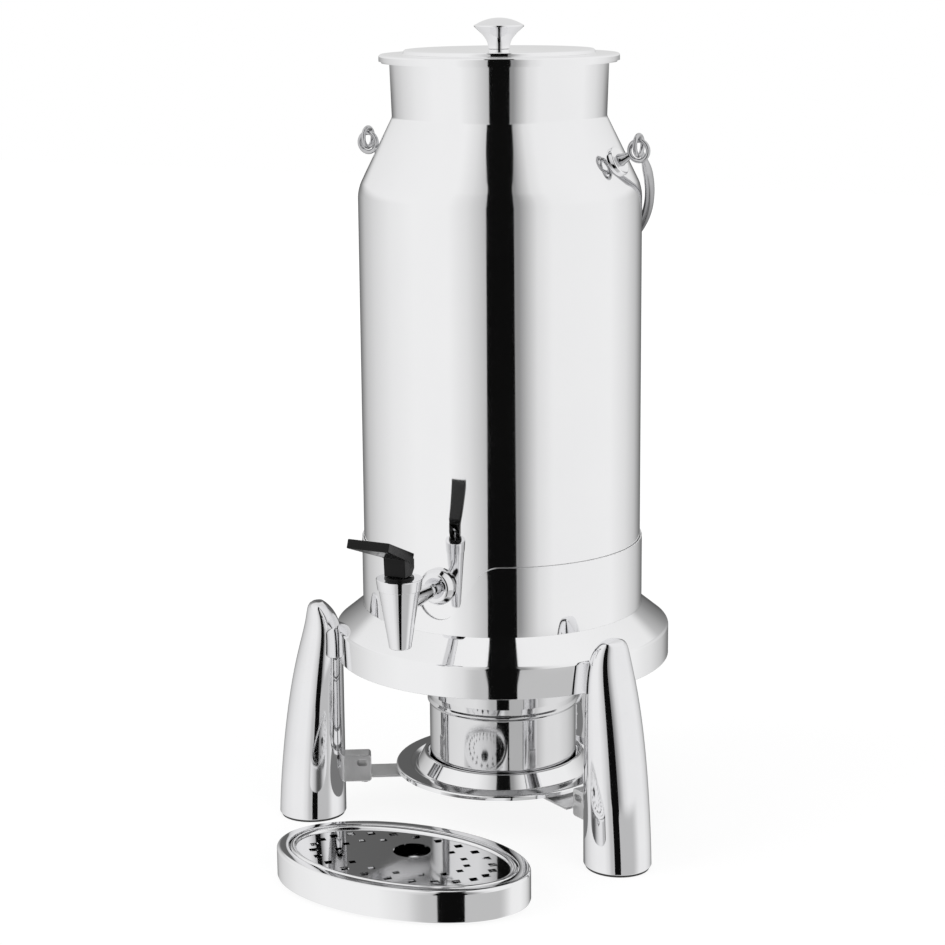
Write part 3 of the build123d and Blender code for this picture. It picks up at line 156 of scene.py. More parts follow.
def turned(name, profile, steps=TURN_STEPS, centre=(0, AXIS_Y, 0), along=UP, across=OUT,
           closed=False, sheet=0.0, finish=True):
    """Spin a profile of (radius, distance along the axis, rounding) round an axis.

    With a sheet thickness the profile is the sheet's middle line, and gets its two faces.
    """
    centre, along, across = Vector(centre), Vector(along), Vector(across)
    corners = [(centre + across * spot[0] + along * spot[1], spot[2] if len(spot) > 2 else 0)
               for spot in profile]
    piece = draw(name, corners, closed)
    select_all()
    bpy.ops.mesh.spin(steps=steps, angle=2 * pi, center=centre * MM, axis=along)
    select_all()
    bpy.ops.mesh.remove_doubles(threshold=2e-6)
    bpy.ops.mesh.normals_make_consistent(inside=False)
    bpy.ops.object.mode_set(mode="OBJECT")
    if sheet:
        thicken = piece.modifiers.new("sheet", "SOLIDIFY")
        thicken.thickness = sheet * MM
        thicken.offset = 0
        thicken.use_even_offset = True
        thicken.use_quality_normals = True
        bpy.ops.object.modifier_apply(modifier="sheet")
    return smooth(piece) if finish else piece


def ringed(name, rings, segments, finish=True):
    """Build a closed piece ring by ring; a ring is (middle x, middle y, height, half length, half width)."""
    let_go()
    x, y, z, a, b = rings[0]
    bpy.ops.mesh.primitive_circle_add(vertices=segments, radius=1, fill_type="NOTHING",
                                      location=(x * MM, y * MM, z * MM))
    piece = bpy.context.object
    piece.name = name
    piece.data.name = name
    piece.scale = (a * MM, b * MM, 1)
    fix_place()
    bpy.ops.object.mode_set(mode="EDIT")
    select_all()
    bpy.ops.mesh.edge_face_add()
    bpy.ops.mesh.extrude_region_move(TRANSFORM_OT_translate={"value": (0, 0, 0)})
    bpy.ops.mesh.delete(type="ONLY_FACE")
    select_where(piece, lambda co: True)
    bpy.ops.mesh.remove_doubles(threshold=1e-7)
    bpy.ops.mesh.edge_face_add()
    select_all()
    for nx, ny, nz, na, nb in rings[1:]:
        move = ((nx - x) * MM, (ny - y) * MM, (nz - z) * MM)
        bpy.ops.mesh.extrude_region_move(TRANSFORM_OT_translate={"value": move})
        bpy.ops.transform.resize(value=(na / a, nb / b, 1),
                                 center_override=(nx * MM, ny * MM, nz * MM))
        x, y, z, a, b = nx, ny, nz, na, nb
    select_all()
    bpy.ops.mesh.remove_doubles(threshold=2e-6)
    bpy.ops.mesh.normals_make_consistent(inside=False)
    bpy.ops.object.mode_set(mode="OBJECT")
    return smooth(piece) if finish else piece


def slab(name, corners, depth):
    """Fill a drawn outline and push it out by depth, a vector."""
    piece = draw(name, corners, closed=True)
    select_all()
    bpy.ops.mesh.edge_face_add()
    bpy.ops.mesh.extrude_region_move(TRANSFORM_OT_translate={"value": tuple(Vector(depth) * MM)})
    select_all()
    bpy.ops.mesh.normals_make_consistent(inside=False)
    bpy.ops.object.mode_set(mode="OBJECT")
    return piece


def joined(pieces):
    """Several pieces as one."""
    let_go()
    for piece in pieces:
        piece.select_set(True)
    bpy.context.view_layer.objects.active = pieces[0]
    bpy.ops.object.join()
    return pieces[0]


def carve(piece, tool, how="DIFFERENCE"):
    """Cut with a tool, or weld it on, and put the tool away."""
    take(piece)
    cut = piece.modifiers.new("cut", "BOOLEAN")
    cut.operation = how
    cut.solver = "EXACT"
    cut.object = tool
    bpy.ops.object.modifier_apply(modifier="cut")
    bpy.data.objects.remove(tool, do_unlink=True)
    return piece


def soften(piece, width, segments, angle):
    """Break the edges that are sharper than the angle."""
    take(piece)
    edge = piece.modifiers.new("edge", "BEVEL")
    edge.width = width * MM
    edge.segments = segments
    edge.limit_method = "ANGLE"
    edge.angle_limit = radians(angle)
    edge.harden_normals = False
    bpy.ops.object.modifier_apply(modifier="edge")


def set_down(piece, turn):
    """Turn a piece about the upright through its origin and put it under the urn's axis."""
    take(piece)
    piece.rotation_euler = (0, 0, radians(turn))
    piece.location = Vector((0, AXIS_Y, 0)) * MM
    fix_place()


# ------------------------------------------------------------------ finishes

def new_group(name, inputs, outputs):
    """An empty effect with named inputs (name, kind, value) and outputs (name, kind)."""
    group = bpy.data.node_groups.new(name, "ShaderNodeTree")
    for label, kind, value in inputs:
        socket = group.interface.new_socket(name=label, in_out="INPUT", socket_type=kind)
        if value is not None:
            socket.default_value = value
    for label, kind in outputs:
        group.interface.new_socket(name=label, in_out="OUTPUT", socket_type=kind)
    return group, group.nodes.new("NodeGroupInput"), group.nodes.new("NodeGroupOutput")


def math_node(nodes, links, kind, first, second, third=None):
    """A Math node fed by sockets or numbers."""
    node = nodes.new("ShaderNodeMath")
    node.operation = kind
    for number, feed in enumerate((first, second, third)):
        if feed is None:
            continue
        if isinstance(feed, (int, float)):
            node.inputs[number].default_value = feed
        else:
            links.new(feed, node.inputs[number])
    return node.outputs[0]


def mixed(nodes, links, share, first, second):
    """A colour between two, each a socket or a colour."""
    mix = nodes.new("ShaderNodeMix")
    mix.data_type = "RGBA"
    links.new(share, mix.inputs["Factor"])
    for number, feed in ((6, first), (7, second)):
        if isinstance(feed, tuple):
            mix.inputs[number].default_value = feed
        else:
            links.new(feed, mix.inputs[number])
    return mix.outputs[2]


def make_polish_haze():
    """Cloudy patches where a polished skin was wiped: roughness and a little of the colour."""
    group, enter, leave = new_group(
        "polish_haze",
        [("Place", "NodeSocketVector", None), ("Size", "NodeSocketFloat", 9.0),
         ("Lowest", "NodeSocketFloat", 0.03), ("Highest", "NodeSocketFloat", 0.07),
         ("Bright", "NodeSocketColor", (0.92, 0.92, 0.925, 1)),
         ("Dull", "NodeSocketColor", (0.89, 0.89, 0.9, 1))],
        [("Roughness", "NodeSocketFloat"), ("Color", "NodeSocketColor")])
    nodes, links = group.nodes, group.links
    clouds = nodes.new("ShaderNodeTexNoise")
    clouds.inputs["Detail"].default_value = 5
    clouds.inputs["Roughness"].default_value = 0.62
    links.new(enter.outputs["Place"], clouds.inputs["Vector"])
    links.new(enter.outputs["Size"], clouds.inputs["Scale"])
    curve = nodes.new("ShaderNodeMapRange")
    curve.inputs["From Min"].default_value = 0.38
    curve.inputs["From Max"].default_value = 0.72
    links.new(clouds.outputs["Fac"], curve.inputs["Value"])
    links.new(enter.outputs["Lowest"], curve.inputs["To Min"])
    links.new(enter.outputs["Highest"], curve.inputs["To Max"])
    links.new(curve.outputs["Result"], leave.inputs["Roughness"])
    links.new(mixed(nodes, links, clouds.outputs["Fac"], enter.outputs["Bright"], enter.outputs["Dull"]),
              leave.inputs["Color"])
    return group


def make_fine_grain():
    """Long fine lines from rolling or polishing, as a height."""
    group, enter, leave = new_group(
        "fine_grain",
        [("Place", "NodeSocketVector", None), ("Across", "NodeSocketFloat", 900.0),
         ("Lengthwise", "NodeSocketFloat", 14.0)],
        [("Height", "NodeSocketFloat")])
    nodes, links = group.nodes, group.links
    split = nodes.new("ShaderNodeSeparateXYZ")
    links.new(enter.outputs["Place"], split.inputs[0])
    together = nodes.new("ShaderNodeCombineXYZ")
    for number, label in enumerate(("Lengthwise", "Lengthwise", "Across")):
        stretched = math_node(nodes, links, "MULTIPLY", split.outputs[number], enter.outputs[label])
        links.new(stretched, together.inputs[number])
    lines = nodes.new("ShaderNodeTexNoise")
    lines.inputs["Scale"].default_value = 1
    lines.inputs["Detail"].default_value = 3
    links.new(together.outputs[0], lines.inputs["Vector"])
    links.new(lines.outputs["Fac"], leave.inputs["Height"])
    return group


def make_turning_lines():
    """Rings left by the turning tool round an upright axis, as a height."""
    group, enter, leave = new_group(
        "turning_lines",
        [("Place", "NodeSocketVector", None), ("Rings", "NodeSocketFloat", 1400.0)],
        [("Height", "NodeSocketFloat")])
    nodes, links = group.nodes, group.links
    split = nodes.new("ShaderNodeSeparateXYZ")
    links.new(enter.outputs["Place"], split.inputs[0])
    x2 = math_node(nodes, links, "MULTIPLY", split.outputs[0], split.outputs[0])
    y2 = math_node(nodes, links, "MULTIPLY", split.outputs[1], split.outputs[1])
    radius = math_node(nodes, links, "SQRT", math_node(nodes, links, "ADD", x2, y2), 0)
    sum_up = math_node(nodes, links, "ADD", radius, split.outputs[2])
    phase = math_node(nodes, links, "MULTIPLY", sum_up, enter.outputs["Rings"])
    waves = math_node(nodes, links, "SINE", phase, 0)
    uneven = nodes.new("ShaderNodeTexNoise")
    uneven.inputs["Scale"].default_value = 60
    links.new(enter.outputs["Place"], uneven.inputs["Vector"])
    links.new(math_node(nodes, links, "MULTIPLY", waves, uneven.outputs["Fac"]), leave.inputs["Height"])
    return group


def make_pores():
    """Small pits of cast rubber or moulded plastic, as a height."""
    group, enter, leave = new_group(
        "pores",
        [("Place", "NodeSocketVector", None), ("Size", "NodeSocketFloat", 900.0)],
        [("Height", "NodeSocketFloat")])
    nodes, links = group.nodes, group.links
    cells = nodes.new("ShaderNodeTexVoronoi")
    links.new(enter.outputs["Place"], cells.inputs["Vector"])
    links.new(enter.outputs["Size"], cells.inputs["Scale"])
    cloud = nodes.new("ShaderNodeTexNoise")
    cloud.inputs["Detail"].default_value = 4
    links.new(enter.outputs["Place"], cloud.inputs["Vector"])
    links.new(enter.outputs["Size"], cloud.inputs["Scale"])
    links.new(math_node(nodes, links, "MULTIPLY", cells.outputs["Distance"], cloud.outputs["Fac"]),
              leave.inputs["Height"])
    return group


polish_haze = make_polish_haze()
fine_grain = make_fine_grain()
turning_lines = make_turning_lines()
pores = make_pores()


def finish_of(name, metallic, haze, bump_group=None, bump_values=None, bump_strength=0.1,
              bump_distance=0.0001, centre=(0, -AXIS_Y, 0), **constants):
    """A finish from the wiped-haze effect and one kind of surface line or pit."""
    material = bpy.data.materials.new(name)
    material.use_nodes = True
    nodes, links = material.node_tree.nodes, material.node_tree.links
    shader = nodes["Principled BSDF"]
    shader.inputs["Metallic"].default_value = metallic
    for label, value in constants.items():
        shader.inputs[label.replace("_", " ")].default_value = value
    place = nodes.new("ShaderNodeTexCoord")
    middle = nodes.new("ShaderNodeMapping")
    middle.inputs["Location"].default_value = Vector(centre) * MM
    links.new(place.outputs["Object"], middle.inputs["Vector"])
    patches = nodes.new("ShaderNodeGroup")
    patches.node_tree = polish_haze
    for label, value in haze.items():
        patches.inputs[label].default_value = value
    links.new(middle.outputs["Vector"], patches.inputs["Place"])
    links.new(patches.outputs["Roughness"], shader.inputs["Roughness"])
    links.new(patches.outputs["Color"], shader.inputs["Base Color"])
    if bump_group:
        lines = nodes.new("ShaderNodeGroup")
        lines.node_tree = bump_group
        for label, value in (bump_values or {}).items():
            lines.inputs[label].default_value = value
        links.new(middle.outputs["Vector"], lines.inputs["Place"])
        bump = nodes.new("ShaderNodeBump")
        bump.inputs["Strength"].default_value = bump_strength
        bump.inputs["Distance"].default_value = bump_distance
        links.new(lines.outputs["Height"], bump.inputs["Height"])
        links.new(bump.outputs["Normal"], shader.inputs["Normal"])
    return material


finishes = {
    "polished_steel": finish_of(
        "polished_steel", 1.0,
        {"Size": 11.0, "Lowest": 0.035, "Highest": 0.075,
         "Bright": (0.93, 0.93, 0.935, 1), "Dull": (0.885, 0.885, 0.895, 1)},
        fine_grain, {"Across": 1500.0, "Lengthwise": 22.0}, 0.02, 0.00005),
    "leg_chrome": finish_of(
        "leg_chrome", 1.0,
        {"Size": 26.0, "Lowest": 0.04, "Highest": 0.10,
         "Bright": (0.90, 0.90, 0.91, 1), "Dull": (0.83, 0.83, 0.845, 1)},
        pores, {"Size": 260.0}, 0.02, 0.0001),
    "plain_steel": finish_of(
        "plain_steel", 1.0,
        {"Size": 30.0, "Lowest": 0.22, "Highest": 0.36,
         "Bright": (0.60, 0.60, 0.605, 1), "Dull": (0.48, 0.48, 0.485, 1)},
        fine_grain, {"Across": 2600.0, "Lengthwise": 60.0}, 0.12, 0.0001),
    "tap_chrome": finish_of(
        "tap_chrome", 1.0,
        {"Size": 40.0, "Lowest": 0.05, "Highest": 0.10,
         "Bright": (0.88, 0.88, 0.89, 1), "Dull": (0.80, 0.80, 0.815, 1)},
        turning_lines, {"Rings": 5200.0}, 0.015, 0.00005, (0, -TAP_Y, 0)),
    "tap_black": finish_of(
        "tap_black", 0.0,
        {"Size": 70.0, "Lowest": 0.12, "Highest": 0.22,
         "Bright": (0.006, 0.006, 0.006, 1), "Dull": (0.011, 0.011, 0.011, 1)},
        pores, {"Size": 1500.0}, 0.03, 0.0001, (0, -TAP_Y, 0), Specular_IOR_Level=0.14),
    "seal_silicone": finish_of(
        "seal_silicone", 0.0,
        {"Size": 60.0, "Lowest": 0.4, "Highest": 0.6,
         "Bright": (0.60, 0.60, 0.58, 1), "Dull": (0.50, 0.50, 0.48, 1)},
        pores, {"Size": 1200.0}, 0.06, 0.0001, Subsurface_Weight=0.15),
    "foot_rubber": finish_of(
        "foot_rubber", 0.0,
        {"Size": 50.0, "Lowest": 0.6, "Highest": 0.85,
         "Bright": (0.035, 0.035, 0.036, 1), "Dull": (0.055, 0.054, 0.053, 1)},
        pores, {"Size": 1100.0}, 0.3, 0.0002),
    "fastener_steel": finish_of(
        "fastener_steel", 1.0,
        {"Size": 80.0, "Lowest": 0.16, "Highest": 0.3,
         "Bright": (0.74, 0.74, 0.75, 1), "Dull": (0.62, 0.62, 0.63, 1)},
        turning_lines, {"Rings": 9000.0}, 0.08, 0.00005),
    "can_tin": finish_of(
        "can_tin", 1.0,
        {"Size": 34.0, "Lowest": 0.25, "Highest": 0.42,
         "Bright": (0.76, 0.74, 0.70, 1), "Dull": (0.64, 0.62, 0.58, 1)},
        fine_grain, {"Across": 2000.0, "Lengthwise": 30.0}, 0.08, 0.0001),
}

# painted shade: the wire of the eyes and the bail gets a darker base colour that stands in for the dark
# surroundings it reflects
wire_steel_painted_dark = finish_of(
    "wire_steel_painted_dark", 1.0,
    {"Size": 90.0, "Lowest": 0.05, "Highest": 0.12,
     "Bright": (0.60, 0.60, 0.61, 1), "Dull": (0.46, 0.46, 0.47, 1)},
    fine_grain, {"Across": 1800.0, "Lengthwise": 50.0}, 0.03, 0.00005)
satin_strip = finish_of(
    "satin_strip", 1.0,
    {"Size": 40.0, "Lowest": 0.3, "Highest": 0.42,
     "Bright": (0.96, 0.96, 0.96, 1), "Dull": (0.9, 0.9, 0.905, 1)},
    fine_grain, {"Across": 1400.0, "Lengthwise": 40.0}, 0.04, 0.0001)
# painted shade: the burner cup's darker base colour stands in for the shade under the urn and the dim parts
# it reflects
cup_steel_painted_shade = finish_of(
    "cup_steel_painted_shade", 1.0,
    {"Size": 14.0, "Lowest": 0.05, "Highest": 0.1,
     "Bright": (0.80, 0.80, 0.805, 1), "Dull": (0.70, 0.70, 0.71, 1)},
    fine_grain, {"Across": 1500.0, "Lengthwise": 22.0}, 0.02, 0.00005)
cut_edge = finish_of(
    "cut_edge", 1.0,
    {"Size": 60.0, "Lowest": 0.4, "Highest": 0.55,
     "Bright": (0.97, 0.97, 0.97, 1), "Dull": (0.93, 0.93, 0.935, 1)},
    fine_grain, {"Across": 900.0, "Lengthwise": 60.0}, 0.1, 0.0001)


def done(piece, slot, body, *nodes):
    """Give the piece its finish, let it move with its body and stand for its solids."""
    piece.data.materials.clear()
    piece.data.materials.append(finishes[slot])
    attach(piece, body)
    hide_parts(*nodes)


# the solids that keep their shape; the burner's holders are brushed bright
brushed_holders = ["leg_bracket_left", "leg_bracket_right", "leg_bracket_rear", "burner_strap"]
for part in frame["record"]["subparts"]:
    node = frame["nodes"][part["node"]]
    finish = satin_strip if part["node"] in brushed_holders else finishes[part["material_slot"]]
    if not node.material_slots:
        node.data.materials.append(finish)
    for holder in node.material_slots:
        holder.material = finish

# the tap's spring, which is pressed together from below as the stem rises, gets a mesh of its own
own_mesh(frame["nodes"]["tap_spring"])


# ------------------------------------------------------------------ body of the urn

CREASE_R, CREASE_Z = 75.3, 510.5
WALL_TOP_Z = 460.8
SHOULDER_TILT = atan2(BODY_R - CREASE_R, CREASE_Z - WALL_TOP_Z)
EYE_ROOT_Z = 481.5
EYE_ROOT_R = CREASE_R + (CREASE_Z - EYE_ROOT_Z) * tan(SHOULDER_TILT)
STUD_AXES = {side: Vector((side * cos(SHOULDER_TILT), 0, sin(SHOULDER_TILT))) for side in (-1, 1)}
SIDE_NAMES = {-1: "left", 1: "right"}
EYE_X, EYE_Z, LOOP_Z = 105.47, 489.331, 492.981    # middles of the eyes and of the bail's loops
EYE_MEAN_R, WIRE_R = 6.9, 1.6       # of the eyes and loops, to the middle of their wire, and of the wire
half_sheet = BODY_SHEET / 2
wall_mid_r = BODY_R - half_sheet
corner_shift = half_sheet * tan(SHOULDER_TILT / 2)
neck_foot = (74.906, 516.55)


def shoulder_mid(height):
    """Point of the shoulder's middle line at a height."""
    return (CREASE_R - half_sheet + (CREASE_Z - corner_shift - height) * tan(SHOULDER_TILT), height)


def wire_ring(middle, turn):
    """A ring of wire, as the eyes and the bail's loops are."""
    let_go()
    bpy.ops.mesh.primitive_torus_add(major_segments=64, minor_segments=20, major_radius=EYE_MEAN_R * MM,
                                     minor_radius=WIRE_R * MM, location=middle * MM, rotation=turn)
    ring_of_wire = bpy.context.object
    fix_place()
    return ring_of_wire


urn_skin = turned("urn_skin", [
    (wall_mid_r, 143.3), (wall_mid_r, 181.0), (wall_mid_r, 204.0), (wall_mid_r, 300.0),
    (wall_mid_r, WALL_TOP_Z - corner_shift, 24), shoulder_mid(473.0), shoulder_mid(490.0),
    (CREASE_R - half_sheet, CREASE_Z - corner_shift, 4), neck_foot], sheet=BODY_SHEET, finish=False)

# holes for the tap's shank and for the studs of the two eyes
tap_hole = turned("tap_hole", [(0, 90), (5.05, 90), (5.05, 110), (0, 110)], SMALL_STEPS,
                  (0, AXIS_Y, TAP_Z), (0, -1, 0), finish=False)
carve(urn_skin, tap_hole)
for side, stud_axis in STUD_AXES.items():
    stud_hole = turned("stud_hole", [(0, -6), (2.55, -6), (2.55, 6), (0, 6)], 32,
                       (side * EYE_ROOT_R, AXIS_Y, EYE_ROOT_Z), stud_axis, (0, 1, 0), finish=False)
    carve(urn_skin, stud_hole)
smooth(urn_skin)
done(urn_skin, "polished_steel", "urn", "urn_shell")

neck_skin = turned("neck_skin", [neck_foot, (76.1, 551.2)], sheet=BODY_SHEET)
done(neck_skin, "polished_steel", "urn", "urn_neck")

neck_rim = turned("neck_rolled_rim", [(75.5, 551.85), (81.6, 551.85, 1.2), (81.6, 547.85)],
                  sheet=BODY_SHEET)
done(neck_rim, "polished_steel", "urn", "neck_rim")

for side, stud_axis in STUD_AXES.items():
    root = Vector((side * EYE_ROOT_R, AXIS_Y, EYE_ROOT_Z))
    plate = turned("bail_plate_" + SIDE_NAMES[side],
                   [(2.55, -1.1), (2.55, 2.6, 0.3), (10.5, 2.6, 1.17), (10.5, -1.1)], SMALL_STEPS,
                   root, stud_axis, (0, 1, 0), closed=True)
    done(plate, "polished_steel", "urn", "handle_plate_" + SIDE_NAMES[side])

    eye_middle = Vector((side * EYE_X, AXIS_Y, EYE_Z))
    stud = turned("stud", [
        (0, -9), (2.5, -9), (2.5, 2.65), (4.68, 2.65, 0.4), (3.9, 4.6, 3.0), (2.9, 8.2, 4.0), (2.2, 10.2),
        (0, 10.4)], 48, root, stud_axis, (0, 1, 0), finish=False)
    eye = carve(stud, wire_ring(eye_middle, (pi / 2, 0, 0)), "UNION")
    eye.name = eye.data.name = "bail_eye_" + SIDE_NAMES[side]
    smooth(eye, 40)
    done(eye, "polished_steel", "urn", "handle_eye_" + SIDE_NAMES[side])
    # the eye's darker colour is painted shade
    eye.data.materials[0] = wire_steel_painted_dark


# ------------------------------------------------------------------ bail

BAIL_LEAN = radians(48)
ROD_R = 3.4
BAIL_GAP = 0.8          # between the hanging bail and the wall behind
BAIL_DROP = (BODY_R + BAIL_GAP + ROD_R) / sin(BAIL_LEAN)
TAPER_L = 30.0          # the rod thins to the loops' wire over this drop
taper_turn = asin(TAPER_L / BAIL_DROP)
start_turn = asin(EYE_MEAN_R / BAIL_DROP)

# a point spun into an arc, drawn out to an ellipse and given its thickness
arc = first_point("bail_rod", (EYE_X * MM * cos(start_turn), -EYE_X * MM * sin(start_turn), 0))
select_all()
bpy.ops.mesh.spin(steps=128, angle=pi - 2 * start_turn, center=(0, 0, 0), axis=(0, 0, 1))
bpy.ops.object.mode_set(mode="OBJECT")
arc.scale = (1, BAIL_DROP / EYE_X, 1)
fix_place()
bpy.ops.object.convert(target="CURVE")
rod = bpy.context.object
rod.data.dimensions = "3D"
rod.data.bevel_depth = ROD_R * MM
rod.data.bevel_resolution = 7
rod.data.use_fill_caps = True
for spot in rod.data.splines[0].points:
    turn = asin(min(1.0, -spot.co.y / (BAIL_DROP * MM)))
    share = min(1.0, max(0.0, (turn - start_turn) / (taper_turn - start_turn)))
    share = share * share * (3 - 2 * share)
    spot.radius = (WIRE_R + (ROD_R - WIRE_R) * share) / ROD_R
bpy.ops.object.convert(target="MESH")
rod = bpy.context.object
# local -Y of the arc runs down and back along the leaning bail
rod.matrix_world = Matrix.Translation(Vector((0, AXIS_Y, LOOP_Z)) * MM) @ Matrix(
    ((1, 0, 0, 0), (0, -sin(BAIL_LEAN), -cos(BAIL_LEAN), 0), (0, cos(BAIL_LEAN), -sin(BAIL_LEAN), 0),
     (0, 0, 0, 1)))
take(rod)
fix_place()
bpy.ops.object.mode_set(mode="EDIT")
select_all()
bpy.ops.mesh.remove_doubles(threshold=1e-6)
bpy.ops.mesh.normals_make_consistent(inside=False)
bpy.ops.object.mode_set(mode="OBJECT")

for side in (-1, 1):
    carve(rod, wire_ring(Vector((side * EYE_X, AXIS_Y, LOOP_Z)), (0, pi / 2, 0)), "UNION")
rod.name = rod.data.name = "bail_rod"
smooth(rod, 40)
done(rod, "polished_steel", "bail", "bail", "bail_loop_left", "bail_loop_right")
# the bail's darker colour is painted shade
rod.data.materials[0] = wire_steel_painted_dark


# ------------------------------------------------------------------ lid and knob

lid_skin = turned("lid_skin", [(2.6, 556.25), (56.0, 556.25), (66.0, 556.25, 1.2), (67.0, 553.25, 1.0),
                               (83.5, 553.25, 1.2), (83.5, 549.05)], sheet=1.0)
done(lid_skin, "polished_steel", "lid", "lid")

KNOB_Z, KNOB_TOP_Z, KNOB_R = 556.8, 578.1, 17.5
dome_h = 5.3
dome_r = (KNOB_R ** 2 + dome_h ** 2) / (2 * dome_h)
dome_turn = asin(KNOB_R / dome_r)
dome = [(dome_r * sin(dome_turn * step / 10), KNOB_TOP_Z - dome_r * (1 - cos(dome_turn * step / 10)))
        for step in range(9, -1, -1)]
knob = turned("lid_knob_turned", [(0, KNOB_Z), (7.7, KNOB_Z, 0.5), (7.7, 561.4, 9.0), (11.4, 566.6, 16.0),
                                  (KNOB_R, 572.2, 0.7), (KNOB_R, 573.0, 0.4)] + dome, 96)
done(knob, "polished_steel", "lid", "lid_knob")


# ------------------------------------------------------------------ stand

RING_R, RING_BOTTOM_Z, RING_TOP_Z = 121.2, 122.0, 144.5
COLLAR_R = 101.55
RING_SHEET = 1.8
flange_top_r, skirt_inner_r = COLLAR_R + 0.05, RING_R - RING_SHEET
flange_rise = 16.0 / (RING_R - COLLAR_R)
flange_drop = RING_SHEET * hypot(1, flange_rise)


def flange_z(radius):
    """Height of the flange's upper face."""
    return RING_TOP_Z + (RING_R - radius) * flange_rise


ring = turned("stand_ring_skin", [
    (RING_R, RING_BOTTOM_Z, 0.5), (RING_R, RING_TOP_Z, 3.0), (flange_top_r, flange_z(flange_top_r)),
    (flange_top_r, flange_z(flange_top_r) - flange_drop),
    (skirt_inner_r, flange_z(skirt_inner_r) - flange_drop, 1.5), (skirt_inner_r, RING_BOTTOM_Z, 0.5)],
    closed=True)
done(ring, "polished_steel", "stand", "stand_ring")

COLLAR_TOP_Z = 210
collar_rings = [158.2, 166, 172, 178, 184, 190, 196, 201, 205, COLLAR_TOP_Z]
collar = turned("stand_collar_skin", [(COLLAR_R - half_sheet, height) for height in collar_rings],
                sheet=BODY_SHEET, finish=False)
NOTCH_Y, NOTCH_BOTTOM_Z = AXIS_Y - 76.9, 170.6
notch = slab("notch", [
    ((-115, NOTCH_Y, COLLAR_TOP_Z), 0), ((-33.4, NOTCH_Y, COLLAR_TOP_Z), 17.0),
    ((-8.7, NOTCH_Y, NOTCH_BOTTOM_Z), 15.4), ((8.7, NOTCH_Y, NOTCH_BOTTOM_Z), 15.4),
    ((33.4, NOTCH_Y, COLLAR_TOP_Z), 17.0), ((115, NOTCH_Y, COLLAR_TOP_Z), 0),
    ((115, NOTCH_Y, COLLAR_TOP_Z + 30), 0), ((-115, NOTCH_Y, COLLAR_TOP_Z + 30), 0)], (0, -60, 0))
carve(collar, notch)
soften(collar, 0.35, 2, 60)
smooth(collar)
done(collar, "polished_steel", "stand", "stand_collar")

# its upper edge is left as it was cut, and catches the light
collar.data.materials.append(cut_edge)
take(collar)
bpy.ops.object.mode_set(mode="EDIT")
bpy.context.tool_settings.mesh_select_mode = (False, False, True)
bpy.ops.mesh.select_all(action="DESELECT")
mesh = bmesh.from_edit_mesh(collar.data)
for face in mesh.faces:
    place = face.calc_center_median()
    outward = Vector((place.x, place.y - AXIS_Y * MM, 0)).normalized()
    face.select_set(abs(face.normal.dot(outward)) < 0.8 and place.z > 165 * MM)
bmesh.update_edit_mesh(collar.data)
collar.active_material_index = 1
bpy.ops.object.material_slot_assign()
bpy.ops.object.mode_set(mode="OBJECT")

# a leg, drawn out ring by ring from its foot to its tip and fitted round the ring
LEG_FOOT_Z, LEG_H = 2.5, 159.5
LEG_IN_R = 117.0
LEG_HALF_DEPTH, LEG_HALF_WIDTH = 24.5, 23.25
LEG_TIP_SHIFT = 14.0    # the tip stands this far out from the leg's inner side
LEG_TURNS = {"right": -30, "rear": 90, "left": 210}


def leg_ring(share):
    """Ring of the leg at a share of its height; its sides close in towards the tip."""
    half_depth = LEG_HALF_DEPTH * (1 - share ** 1.3) ** 0.33
    half_width = LEG_HALF_WIDTH * (1 - share ** 2.0) ** 0.24
    middle = LEG_IN_R + half_depth + LEG_TIP_SHIFT * share ** 16
    return (middle, 0, LEG_FOOT_Z + LEG_H * share, half_depth, half_width)


leg_rings = [(LEG_IN_R + LEG_HALF_DEPTH, 0, height, LEG_HALF_DEPTH - inset, LEG_HALF_WIDTH - inset)
             for height, inset in ((1.5, 1.0), (1.8, 0.4))]
leg_rings += [leg_ring(sin(pi / 2 * step / 30)) for step in list(range(30)) + [29.3]]
tip = leg_rings[-1]
leg_rings.append((tip[0] + 0.2, 0, tip[2] + 0.15, tip[3] * 0.6, tip[4] * 0.6))

for name, turn in LEG_TURNS.items():
    leg = ringed("leg_cast_" + name, leg_rings, 80, finish=False)
    ring_room = turned("ring_room", [
        (0, RING_BOTTOM_Z - 0.05), (RING_R + 0.05, RING_BOTTOM_Z - 0.05), (RING_R + 0.05, RING_TOP_Z),
        (COLLAR_R + 0.05, 160.5), (COLLAR_R + 0.05, COLLAR_TOP_Z), (0, COLLAR_TOP_Z)], 240, (0, 0, 0),
        finish=False)
    carve(leg, ring_room)
    smooth(leg, 36)
    set_down(leg, turn)
    done(leg, "leg_chrome", "stand", "leg_" + name)

dish = turned("burner_dish_skin", [
    (2.05, 32.05), (56.2, 32.05, 1), (56.2, 45.25, 0.9), (58.1, 45.25, 0.9), (64.6, 34.25, 2.0),
    (68.6, 36.45, 2.0), (78.7, 36.45, 1), (78.7, 33.45)], sheet=1.0)
done(dish, "polished_steel", "stand", "burner_dish")

cup = turned("burner_cup_skin", [
    (0, 33.35), (53.5, 33.35, 1), (53.5, 84.25, 2.0), (55.3, 86.35, 1), (54.1, 88.45, 1), (55.1, 93.1, 1),
    (55.1, 102.35)], sheet=1.0)
done(cup, "polished_steel", "burner", "burner_cup")
# the cup's darker colour is painted shade
cup.data.materials[0] = cup_steel_painted_shade


# ------------------------------------------------------------------ tap

